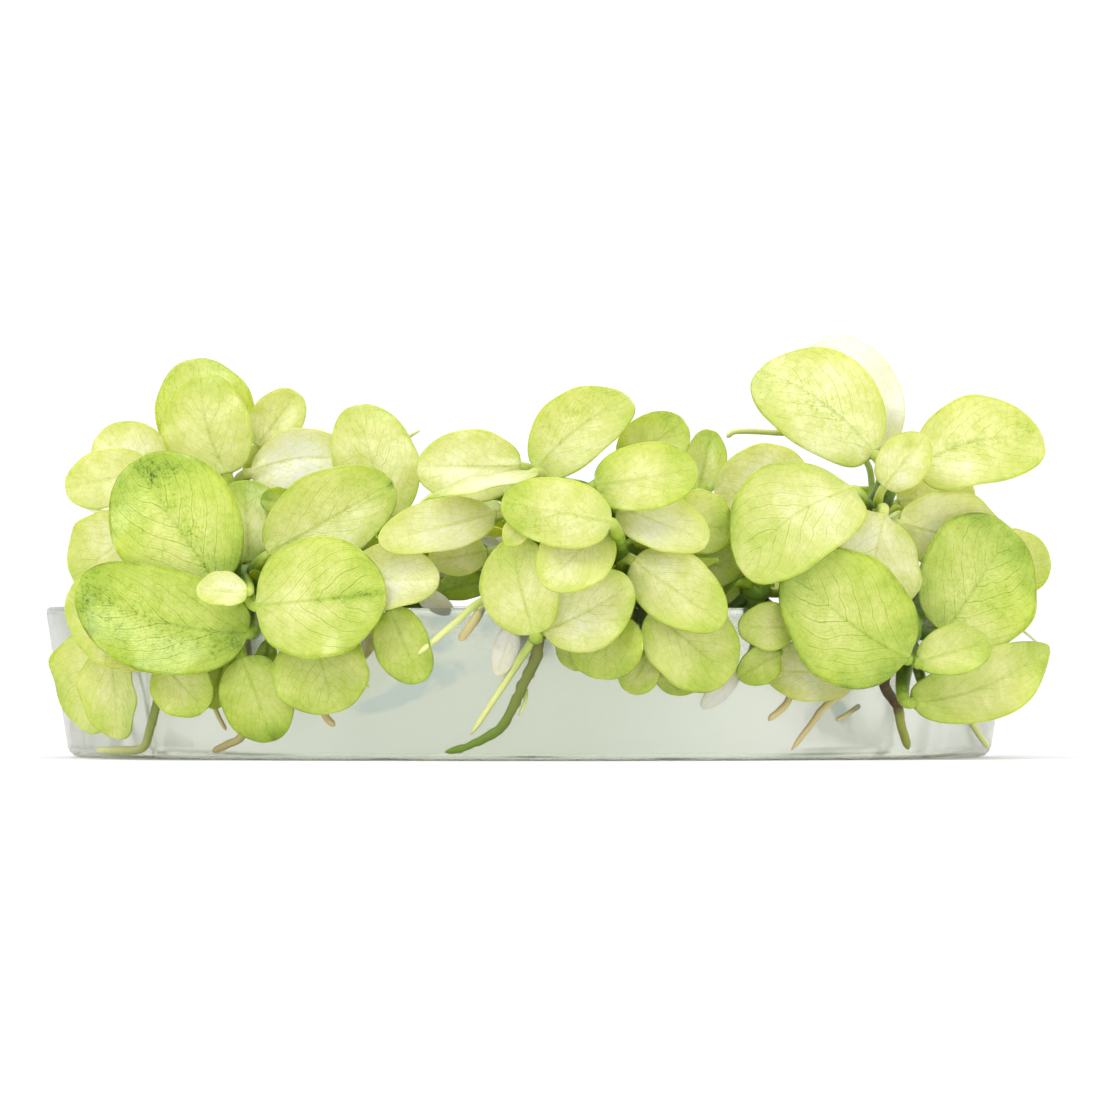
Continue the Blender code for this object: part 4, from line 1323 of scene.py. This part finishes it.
# Where the plantlets stand, front ones first, with every leaf and root that shows
PLANTLETS = {
    "left_side": Plantlet(
        stem=((-35.0, -23.0, 12.6), (-37.0, -25.2, 16.2), (-39.8, -28.0, 18.4)),
        radius=1.4,
        leaves={
            "over_rim": leaf((-41.6, -33.0, 11.5), (-41.3, -32.3, 1.9), 8.6, (-1, -1.0, 0.1), at=0.97,
                             base_fullness=0.5, tone=Tone.LIME,
                             marks=(speckle(0.6, 0.5, 0.35, 0.4, 0.6),)),
            "under_rim": leaf((-42.3, -28.0, 11.8), (-45.8, -24.4, 3.4), 11.5, (-1, -0.95, 0.1), at=0.85,
                              base_fullness=0.52),
            "high": leaf((-39.0, -33.0, 22.9), (-45.9, -29.5, 18.0), 8.2, (-0.4, -1, 0.2), at=0.95),
        },
        roots=(
            Root(((-35.5, -23.8, 13.4), wall(-36.6, 9.0, -1), wall(-37.1, 6.1), wall(-37.9, 3.0),
                  wall(-38.7, 1.1), wall(-41.0, 0.8), wall(-43.6, 0.8)), 0.5, 0.4),
        ),
        sprays=(
            crowded((-37.5, -25.8, 16.5), 4),
            behind((-37.5, -25.0, 16.8), 6, 30, 190, 0, 30, length=9.0, width=7.8, reach=46.5),
        ),
    ),
    "left_front": Plantlet(
        stem=((-27.0, -33.0, 12.6), (-28.0, -36.0, 16.5), (-28.6, -39.4, 18.7)),
        radius=1.6,
        leaves={
            "round": leaf((-27.0, -46.3, 15.3), (-14.3, -52.0, 16.7), 12.3, (-0.35, -1, 0.1), at=0.85,
                          deeper=0.08, stalk_bend=0.1,
                          marks=(speckle(0.85, 0.0, 0.25, 0.16, 1.0), spot(0.75, 0.0, 0.3, 0.06, 0.5),
                                 spot(0.97, -0.2, 0.12, 0.6, 0.3))),
            "speckled": leaf((-30.9, -42.0, 17.3), (-39.6, -38.0, 29.8), 12.9, (-0.3, -1, 0.3), at=0.95,
                             deeper=0.2,
                             marks=(speckle(0.82, -0.25, 0.2, 0.4), speckle(0.5, -0.16, 0.35, 0.2, 0.9),
                                    speckle(0.2, -0.15, 0.15, 0.2, 0.8), spot(0.95, -0.2, 0.1, 0.5, 0.15),
                                    speckle(0.55, 0.5, 0.2, 0.2, 0.5))),
            "speckled_low": leaf((-27.9, -44.9, 12.6), (-45.2, -40.3, 17.4), 10.9, (-0.2, -1, 0.15),
                                 1.2, at=0.88, tone=Tone.GREEN, deeper=-0.05, stalk_bend=0.2,
                                 marks=(speckle(0.72, 0.1, 0.3, 0.45),
                                        speckle(0.3, 0.3, 0.3, 0.35, 0.8),
                                        speckle(0.95, 0.0, 0.12, 0.8, 0.9),
                                        spot(0.1, 0.2, 0.15, 0.4, 0.2))),
            "low_left": small((-34.2, -39.5, 11.9), (-46.2, -34.3, 16.6), 9.4, (-0.4, -1, 0.1), 0.8,
                              at=0.9),
            "young": small((-28.0, -46.9, 16.7), (-33.0, -47.4, 17.0), 3.9, (-0.2, -1, 0.5), at=1.0,
                           fold=1.2, stalk_bend=0.1, deeper=-0.1),
            "shaded": small((-27.9, -35.5, 19.6), (-28.4, -32.0, 28.0), 7.6, (0.0, -1, 0.3), at=0.8,
                            tone=Tone.LIME),
            "hanging": leaf((-28.5, -43.6, 10.2), (-25.5, -43.4, 1.8), 7.5, (-0.3, -1, 0.05), at=1.0,
                            deeper=0.07, tone=Tone.LIME, marks=(spot(1.0, 0.2, 0.2, 0.6, 0.5),)),
            "hanging_left": small((-36.7, -41.2, 10.0), (-32.2, -43.1, 5.0), 6.6, (-0.5, -1, 0.0),
                                  at=0.95, tone=Tone.LIME),
            "oval": leaf((-25.9, -40.0, 20.4), (-13.5, -39.0, 27.7), 9.3, (0.1, -1, 0.35), at=0.7,
                         marks=(speckle(0.6, 0.3, 0.4, 0.4, 0.4), spot(1.0, 0.0, 0.05, 0.3, 0.9))),
            "hanging_behind": small((-30.0, -39.2, 10.9), (-31.8, -39.4, 5.1), 4.0, (-0.3, -1, 0.0),
                                    tone=Tone.LIME),
            "slip": small((-25.9, -42.3, 11.8), (-26.4, -42.4, 7.4), 2.4, (-0.2, -1, 0.0), at=0.6,
                          tone=Tone.GREEN),
            # Painted shade: a small dark olive leaf put in a gap at the crown
            "dark": small((-29.7, -40.4, 17.6), (-31.2, -39.4, 22.8), 3.4, (0.0, -1, 0.1), at=0.9,
                          tone=Tone.OLIVE, deeper=0.2),
            # Painted shade: a small dark olive leaf put in a lower gap at the crown
            "dark_low": small((-26.4, -37.3, 16.4), (-31.0, -37.0, 13.2), 4.4, (0.0, -1, 0.0), at=0.6,
                              tone=Tone.OLIVE, deeper=0.2),
            "in_shadow": small((-23.6, -34.6, 25.6), (-26.8, -34.6, 26.0), 2.8, (0.0, -1, 0.2), at=0.9,
                               tone=Tone.GREEN),
        },
        roots=(
            Root(((-27.2, -33.8, 13.4), wall(-27.7, 8.0, -1), wall(-28.5, 2.7), wall(-30.1, 1.5),
                  wall(-31.6, 0.8)), 0.5, 0.35, finish="root tan"),
            Root((wall(-31.8, 7.0, -1.5), wall(-31.2, 4.8, 0.2), wall(-30.2, 2.9, 0.1)), 0.3, 0.2,
                 finish="root tan"),
        ),
        sprays=(
            crowded((-28.4, -39.0, 17.2), 6),
            behind((-28.3, -37.5, 17.5), 7, 10, 190, 0, 35, reach=48.0),
        ),
    ),
    "left_top": Plantlet(
        stem=((-26.5, -15.0, 12.6), (-27.5, -16.5, 19.0), (-28.5, -18.5, 24.5)),
        radius=1.4,
        leaves={
            "upright": leaf((-30.3, -24.0, 28.5), (-32.9, -22.0, 38.5), 9.0, (0.0, -1, 0.2), 0.7, at=0.75,
                            deeper=0.03),
            "upright_back": leaf((-31.5, -17.0, 28.9), (-34.2, -14.0, 40.2), 9.9, (0.0, -1, 0.2), at=0.85,
                                 tone=Tone.LIME),
            "curled": small((-27.3, -19.0, 31.3), (-23.2, -17.5, 36.8), 5.3, (0.1, -1, 0.2), at=0.9,
                            deeper=-0.08, fold=0.8),
            "right": leaf((-27.8, -23.0, 28.6), (-17.3, -24.5, 29.7), 6.3, (0.1, -1, 0.3), 1.0, at=1.0,
                          tone=Tone.CREAM),
            "left_up": small((-36.9, -23.0, 27.6), (-43.4, -20.0, 32.5), 7.4, (-0.2, -1, 0.2), at=0.65,
                             deeper=-0.06),
            "left_down": leaf((-37.9, -29.0, 28.8), (-46.6, -27.0, 27.2), 6.2, (-0.3, -1, 0.2), at=0.5,
                              deeper=-0.1),
        },
        sprays=(
            crowded((-28.4, -19.5, 23.8), 4),
            behind((-28.3, -18.0, 23.0), 7, -5, 190, -8, 22, reach=44.0),
            behind((-27.2, -16.0, 17.5), 6, 0, 200, -5, 15, reach=44.0, at=0.5),
        ),
    ),
    "left_inner": Plantlet(
        stem=((-16.5, -38.5, 12.6), (-17.5, -41.2, 16.4), (-18.5, -44.4, 18.2)),
        radius=1.4,
        leaves={
            "middle": leaf((-18.4, -48.4, 17.8), (-8.9, -50.4, 18.2), 6.9, (0.0, -1, 0.35), at=0.9,
                           tone=Tone.CREAM),
            "pointed": leaf((-13.7, -48.9, 15.0), (-10.8, -49.3, 7.7), 5.8, (-0.25, -1, 0.0), at=0.8,
                            deeper=0.05, tone=Tone.LIME),
            "low": leaf((-21.4, -46.8, 12.8), (-19.3, -47.2, 4.7), 10.5, (-0.4, -1, 0.05), at=0.95,
                        tone=Tone.LIME),
            "tall": leaf((-14.1, -33.0, 24.0), (-17.2, -29.0, 35.6), 8.7, (0.1, -1, 0.3), at=0.75,
                         marks=(speckle(0.6, 0.4, 0.3, 0.3, 0.4),)),
            "wilted": small((-10.8, -45.4, 16.4), (-7.6, -46.6, 14.8), 2.2, (0.0, -1, 0.2),
                            tone=Tone.WILTED),
            "ragged": small((-15.4, -46.6, 12.7), (-16.6, -47.3, 10.0), 1.4, (0.0, -1, 0.2),
                            tone=Tone.WILTED),
        },
        roots=(
            Root(((-16.8, -39.2, 13.4), wall(-19.6, 9.0, -1), wall(-20.4, 5.0), wall(-19.3, 3.3)),
                 0.45, 0.35, finish="root tan"),
            Root(((-19.3, -46.6, 11.4), (-17.6, -47.9, 8.8), (-15.6, -48.1, 7.1)), 0.35, 0.12),
            Root(((-13.9, -29.5, 31.0), (-12.2, -28.8, 32.1), (-10.9, -28.6, 32.9)), 0.25, 0.12),
        ),
        sprays=(
            crowded((-18.2, -43.4, 17.2), 5),
            behind((-17.4, -41.0, 16.5), 6, 10, 170, 0, 38),
        ),
    ),
    "middle_top": Plantlet(
        stem=((1.0, -33.0, 12.6), (0.8, -35.0, 19.0), (0.4, -37.0, 25.5)),
        radius=1.4,
        leaves={
            "left": leaf((-0.8, -39.5, 29.1), (-11.3, -38.0, 29.3), 7.6, (0.0, -1, 0.25), at=0.85,
                         deeper=-0.06),
            "edge_on": leaf((0.7, -46.0, 28.5), (-9.9, -50.6, 26.2), 4.2, (0.0, -0.32, 1.0), at=0.8,
                            point=0.7, stalk_bend=0.15, cup=0.3, fold=0.0, tone=Tone.CREAM,
                            marks=(spot(1.0, 0.0, 0.12, 1.0, 0.8),)),
            "big": leaf((0.8, -41.5, 28.7), (10.2, -38.5, 36.1), 7.4, (0.05, -1, 0.3), 0.9, at=1.0,
                        marks=(speckle(0.6, 0.5, 0.35, 0.4, 0.6),)),
            "behind": small((9.3, -35.5, 29.3), (15.6, -34.5, 33.8), 6.3, (0.1, -1, 0.2), at=0.9,
                            deeper=0.04, tone=Tone.LIME),
            "cream": leaf((-3.6, -47.0, 24.4), (-14.8, -51.0, 21.8), 5.8, (-0.1, -1, 0.35), at=0.6,
                          tone=Tone.CREAM),
            "under_cream": small((-4.3, -45.5, 20.7), (-9.9, -47.0, 19.9), 4.4, (0.0, -1, 0.2), at=0.4),
            "dark": small((-4.0, -44.0, 17.8), (-9.2, -45.0, 16.8), 3.2, (0.0, -1, 0.2), at=0.3,
                          tone=Tone.OLIVE),
        },
        sprays=(
            crowded((0.5, -36.8, 24.6), 5),
            behind((0.5, -36.2, 24.0), 7, 0, 180, -12, 18),
            behind((0.8, -34.5, 17.5), 7, -20, 200, -8, 18, at=0.4),
        ),
    ),
    "middle_front": Plantlet(
        stem=((9.0, -42.5, 12.6), (9.5, -44.5, 18.0), (9.2, -46.5, 23.5)),
        radius=1.4,
        leaves={
            "front": leaf((8.1, -54.0, 23.6), (-2.7, -55.0, 25.7), 7.0, (0.0, -1, 0.1), at=0.6,
                          stalk_bend=0.08, marks=(speckle(0.6, 0.4, 0.35, 0.4, 0.7),)),
            "under_front": leaf((7.4, -51.4, 23.2), (1.6, -55.8, 17.5), 7.3, (-0.1, -1, 0.0), at=0.5,
                                tone=Tone.LIME, deeper=-0.12, stalk_bend=0.1),
            "top_right": leaf((6.6, -51.2, 27.2), (16.8, -50.5, 29.0), 7.0, (0.0, -1, 0.2), at=1.0,
                              deeper=0.1),
            "pale": leaf((8.9, -48.3, 25.1), (17.8, -50.4, 21.9), 6.0, (-0.15, -1, 0.45),
                         tone=Tone.CREAM, point=0.4, deeper=0.04, stalk_bend=0.1),
            "green": leaf((10.4, -49.0, 19.8), (19.3, -50.5, 13.6), 7.4, (0.15, -1, 0.1), at=0.45),
            "right_up": small((14.1, -45.0, 23.9), (20.3, -44.5, 22.9), 6.8, (0.1, -1, 0.2), at=0.7),
            "right_low": small((15.0, -43.0, 20.4), (21.1, -43.5, 18.8), 5.2, (0.0, -1, 0.2), at=0.55,
                               tone=Tone.LIME),
            "folded": small((16.9, -34.0, 26.4), (18.3, -31.0, 33.0), 4.2, (0.2, -1, 0.2), at=0.9,
                            tone=Tone.LIME, fold=1.8),
        },
        sprays=(
            crowded((9.3, -45.8, 21.5), 6),
            crowded((9.4, -44.2, 17.0), 5, at=0.4),
            behind((9.4, -44.5, 19.5), 7, 10, 170, -10, 25),
        ),
    ),
    "middle_low": Plantlet(
        stem=((0.7, -43.0, 12.8), (0.7, -46.5, 17.1), (0.7, -49.8, 16.6), (0.7, -50.8, 12.4)),
        radius=0.95,
        leaves={
            "left": leaf((0.6, -52.7, 12.6), (-1.6, -52.9, 22.2), 7.8, (-0.1, -1, 0.0), 0.3, at=1.0,
                         deeper=0.02),
            "right": leaf((1.3, -51.7, 12.9), (10.2, -52.2, 17.7), 7.8, (0.1, -1, 0.05), -0.4, at=1.0,
                          deeper=-0.06),
            "tiny": small((-0.4, -53.9, 23.9), (-2.2, -54.2, 21.4), 2.6, (0.0, -1, 0.0), at=0.6),
            "pressed": small((-1.5, -48.7, 13.4), (-3.1, -48.5, 8.4), 2.6, (0.0, -1, 0.0), at=0.2,
                             tone=Tone.WILTED, cup=0.1, deeper=-0.2),
        },
        roots=(
            Root(((0.5, -50.6, 13.9), (0.4, -50.4, 12.2), wall(-1.3, 9.4, 0.5), wall(-2.9, 6.9, 0.3),
                  wall(-5.8, 2.5)), 0.5, 0.3),
            Root(((0.9, -50.4, 13.9), wall(0.8, 10.8, 0.9), wall(-0.6, 7.4, 0.4), wall(-2.7, 3.4, 0.2),
                  wall(-5.9, 1.5, 0.1), wall(-8.4, 0.8, 0.1)), 0.72, 0.32, finish="root dark",
                 lumps=0.35),
            Root(((0.7, -48.6, 17.3), (-4.5, -50.9, 15.9), (-7.4, -50.6, 13.6), (-11.1, -49.9, 10.5)),
                 0.42, 0.3),
            Root((wall(-0.3, 7.2, 0.1), wall(-0.4, 5.8, 0.3), wall(-1.0, 4.4, 0.1)), 0.25, 0.12),
            Root(((-4.2, -46.4, 16.2), (-5.2, -48.3, 14.2), (-6.9, -48.8, 11.9)), 0.55, 0.4,
                 finish="root tan"),
        ),
        sprays=(
            behind((0.7, -46.0, 16.5), 6, 0, 180, 0, 40, length=8.0, width=7.0, at=0.4),
        ),
    ),
    "middle_right": Plantlet(
        stem=((12.0, -43.0, 12.8), (12.2, -45.4, 16.3), (12.5, -48.2, 18.0)),
        radius=1.2,
        leaves={
            "left": leaf((7.7, -50.3, 14.7), (7.5, -50.3, 8.0), 7.8, (-0.12, -1, 0.0), at=0.6,
                         tone=Tone.LIME, stalk_bend=0.1),
            "left_under": small((6.1, -48.9, 13.4), (3.9, -48.8, 9.1), 4.8, (-0.1, -1, 0.0), at=0.85,
                                tone=Tone.LIME),
            "right": leaf((12.1, -49.7, 15.0), (20.2, -47.7, 8.2), 9.2, (0.38, -1, 0.0), at=0.95,
                          tone=Tone.LIME, stalk_bend=0.1, deeper=-0.05),
            "under": small((11.9, -48.7, 10.7), (9.9, -48.7, 6.7), 4.2, (0.0, -1, 0.0), at=0.4,
                           tone=Tone.LIME, stalk_bend=0.1),
            "lowest": small((15.1, -46.9, 9.9), (14.7, -46.9, 6.4), 5.0, (0.3, -1, 0.0), at=0.9,
                            tone=Tone.LIME),
        },
        sprays=(
            crowded((12.4, -47.4, 16.8), 5),
            behind((12.2, -45.8, 15.8), 6, 0, 180, 0, 35),
        ),
    ),
    "right_inner": Plantlet(
        stem=((22.0, -37.5, 12.6), (22.4, -40.2, 16.4), (22.8, -43.2, 18.2)),
        radius=1.3,
        leaves={
            "side": small((26.4, -42.6, 13.3), (20.9, -45.6, 13.2), 4.8, (0.5, -1, 0.1), cup=0.4, at=0.5,
                          tone=Tone.LIME, stalk_bend=0.1),
            "upright": small((19.2, -41.2, 15.4), (18.9, -40.6, 24.6), 6.2, (0.1, -1, 0.05), at=0.6,
                             tone=Tone.LIME, deeper=0.03),
            "olive": small((24.8, -42.9, 10.6), (20.9, -45.0, 8.3), 4.0, (0.5, -1, 0.0), at=0.1,
                           tone=Tone.LIME, deeper=0.08, stalk_bend=0.1),
            "pressed": small((20.8, -43.4, 8.8), (17.2, -44.9, 5.2), 2.2, (0.38, -1, 0.0), at=0.1,
                             tone=Tone.WILTED, cup=0.1, deeper=-0.2),
        },
        roots=(
            Root(((22.2, -36.6, 13.4), wall(26.0, 9.0, -1), wall(25.8, 5.9), wall(23.8, 3.9)), 0.4, 0.35,
                 finish="root tan"),
        ),
        sprays=(
            crowded((22.7, -42.4, 17.2), 6),
            behind((22.4, -40.0, 16.2), 7, 0, 180, 0, 35),
        ),
    ),
    "right_top": Plantlet(
        stem=((33.5, -24.0, 12.6), (34.2, -26.5, 19.0), (34.6, -29.0, 24.8)),
        radius=1.7,
        leaves={
            "speckled": leaf((34.5, -27.5, 30.5), (22.8, -22.5, 39.0), 10.5, (-0.1, -1, 0.35), -1.2,
                             at=0.98, deeper=-0.05,
                             marks=(speckle(0.5, 0.05, 0.35, 0.3, 0.9),
                                    speckle(0.9, 0.0, 0.15, 0.6, 0.5))),
            "white": leaf((35.2, -22.5, 30.7), (29.6, -17.5, 42.4), 9.6, (0.0, -1, 0.3), at=0.85,
                          tone=Tone.WHITE),
            "right": leaf((38.9, -27.0, 29.1), (51.8, -22.0, 32.1), 9.5, (0.1, -1, 0.3), 1.4, at=0.92,
                          deeper=-0.05,
                          marks=(speckle(0.4, 0.0, 0.3, 0.3, 0.7), speckle(0.9, 0.0, 0.12, 0.7, 0.6))),
            "young": small((35.5, -30.5, 27.2), (39.6, -31.2, 32.3), 5.2, (0.2, -1, 0.2), at=0.95,
                           deeper=-0.1, marks=(spot(0.75, 0.3, 0.1, 0.25, 0.5),)),
            "behind": small((37.0, -20.5, 25.6), (44.9, -18.0, 26.9), 5.4, (0.0, -1, 0.3), at=0.7),
            "left_front": leaf((32.3, -36.0, 26.8), (21.5, -47.5, 18.7), 11.4, (0.0, -1, 0.2), -1.6,
                               at=0.95, deeper=0.02, stalk_bend=0.1),
            "left_back": leaf((28.3, -32.0, 27.3), (18.6, -35.0, 26.5), 9.6, (-0.1, -1, 0.2), at=0.85,
                              deeper=-0.12),
            "down": leaf((35.3, -33.5, 24.3), (33.6, -38.3, 14.5), 10.6, (0.6, -1, 0.0), at=0.8,
                         deeper=-0.07),
            "right_down": leaf((37.0, -30.0, 23.4), (48.7, -22.2, 20.9), 8.9, (0.3, -1, 0.2), at=0.7,
                               tone=Tone.CREAM, deeper=0.03),
        },
        roots=(
            Root(((33.6, -24.8, 13.4), wall(33.0, 9.5, -2), wall(31.9, 7.2), wall(29.4, 5.2),
                  wall(28.4, 3.9), wall(26.1, 0.9)), 0.45, 0.3, finish="root tan"),
            Root(((34.3, -27.0, 22.5), (34.0, -21.0, 29.5), (30.0, -18.5, 32.2), (24.5, -18.0, 32.7),
                  (20.9, -18.0, 32.8), (19.8, -18.0, 32.2)), 0.35, 0.25),
            Root((wall(32.8, 5.4, -1.0), wall(31.6, 4.4, 0.1), wall(30.6, 3.9, 0.1)), 0.3, 0.2,
                 finish="root tan"),
        ),
        sprays=(
            crowded((34.6, -28.9, 23.9), 6),
            behind((34.4, -27.0, 23.0), 7, 25, 185, -10, 18, reach=47.0),
            behind((34.0, -25.5, 17.0), 6, 60, 200, -5, 20, reach=45.0, at=0.4),
        ),
    ),
    "right_low": Plantlet(
        stem=((39.0, -24.0, 12.8), (39.3, -27.6, 15.0), (38.3, -31.4, 13.4), (37.6, -35.0, 10.5)),
        radius=1.1,
        leaves={
            "round_low": leaf((37.6, -39.0, 10.0), (25.9, -43.6, 19.6), 13.6, (0.5, -1, 0.1), 0.8,
                              at=0.95, deeper=0.08, stalk_bend=0.1, tone=Tone.LIME),
            "long": leaf((38.3, -36.5, 5.7), (52.5, -24.0, 11.3), 7.0, (0.6, -1, 0.2), -1.2, at=0.9,
                         tone=Tone.LIME, point=0.66, fold=0.8),
            "yellow": leaf((38.9, -38.2, 9.6), (46.2, -32.8, 12.0), 5.3, (0.4, -1, 0.5), at=0.9,
                           deeper=0.13, stalk_bend=0.1),
            "right_green": leaf((41.3, -31.4, 12.4), (48.6, -24.4, 23.2), 13.4, (0.5, -1, 0.1), -0.2,
                                at=0.72, stalk_bend=0.1, tone=Tone.GREEN, deeper=-0.1,
                                base_fullness=0.3, marks=(speckle(0.5, 0.0, 0.4, 0.7, 0.4),)),
            "far_right": small((45.5, -19.5, 19.0), (52.5, -16.5, 20.2), 6.8, (0.2, -1, 0.1), at=0.3),
            "lowest": small((42.1, -30.0, 4.8), (49.1, -22.0, 6.1), 2.8, (0.8, -1, -0.2), at=0.8),
            # Painted light: its tone is set paler, against the shade that it stands in
            "under_round": leaf((32.1, -38.2, 8.7), (23.6, -42.8, 9.0), 6.4, (0.6, -1, 0.05), at=0.85,
                                deeper=-0.1, tone=Tone.PALE),
        },
        roots=(
            Root(((38.0, -34.4, 12.0), wall(35.5, 7.9, 0.9), wall(36.8, 5.4, 0.4), wall(37.2, 3.5, 0.1),
                  wall(38.0, 0.9, 0.1)), 0.6, 0.45, finish="root brown"),
            Root(((39.2, -24.6, 13.6), wall(42.0, 9.0, -1), wall(44.4, 3.7, 0.3), wall(46.4, 0.8, 1.0)),
                 0.4, 0.3),
            Root(((46.0, -12.8, 15.6), (49.6, -12.2, 12.9), (51.6, -12.0, 11.2)), 0.2, 0.12,
                 finish="root pale"),
        ),
        sprays=(
            crowded((39.0, -29.5, 15.0), 6, at=0.5),
            behind((39.6, -26.0, 16.8), 6, 20, 170, -5, 15, reach=48.0, at=0.4),
        ),
    ),
    "back_side_left": Rosette(-33.0, 7.0, 2.2, reach=46.0).plantlet(),
    "back_left": Rosette(-17.0, 31.0, 0.4).plantlet(),
    "back_right": Rosette(17.5, 31.5, 1.3).plantlet(),
    "back_side_right": Rosette(33.0, 8.0, 3.0).plantlet(),
    "centre": Rosette(0.0, 12.0, 0.4, buried=0).plantlet(),
    "centre_left": Rosette(-12.0, -8.0, 4.1, buried=0).plantlet(),
    "centre_right": Rosette(12.0, -8.0, 5.3, buried=0).plantlet(),
}


def main() -> None:
    """Builds the portion, its light and its camera."""
    logging.basicConfig(level=logging.INFO, format="%(name)s: %(message)s")
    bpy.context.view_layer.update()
    finishes = {finish.tone.value: finish.make() for finish in LEAF_FINISHES}
    finishes |= {tissue.name: tissue.make() for tissue in TISSUES}
    skins = {
        "leaf": Skin(sides=32, rings=50), "fill": Skin(sides=20, rings=34),
        "stem": Skin(sides=24, rings=30), "root": Skin(sides=12, rings=48),
    }
    for skin in skins.values():
        skin.build()
    canopy = Canopy()
    for name, plantlet in PLANTLETS.items():
        count = plantlet.grow(name, skins, finishes, canopy)
        log.info("plantlet %s: %d pieces", name, count)
    for name, plantlet in PLANTLETS.items():
        count = plantlet.fill(name, skins["fill"], finishes, canopy)
        log.info("sprays of %s: %d leaves", name, count)
    for skin in skins.values():
        skin.discard()
    settle(CulturePuck().build(), "gel", "gel", GelFinish().make())
    log.info("gel puck")
    Studio().build()
    log.info("studio")
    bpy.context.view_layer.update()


if __name__ == "__main__":
    main()
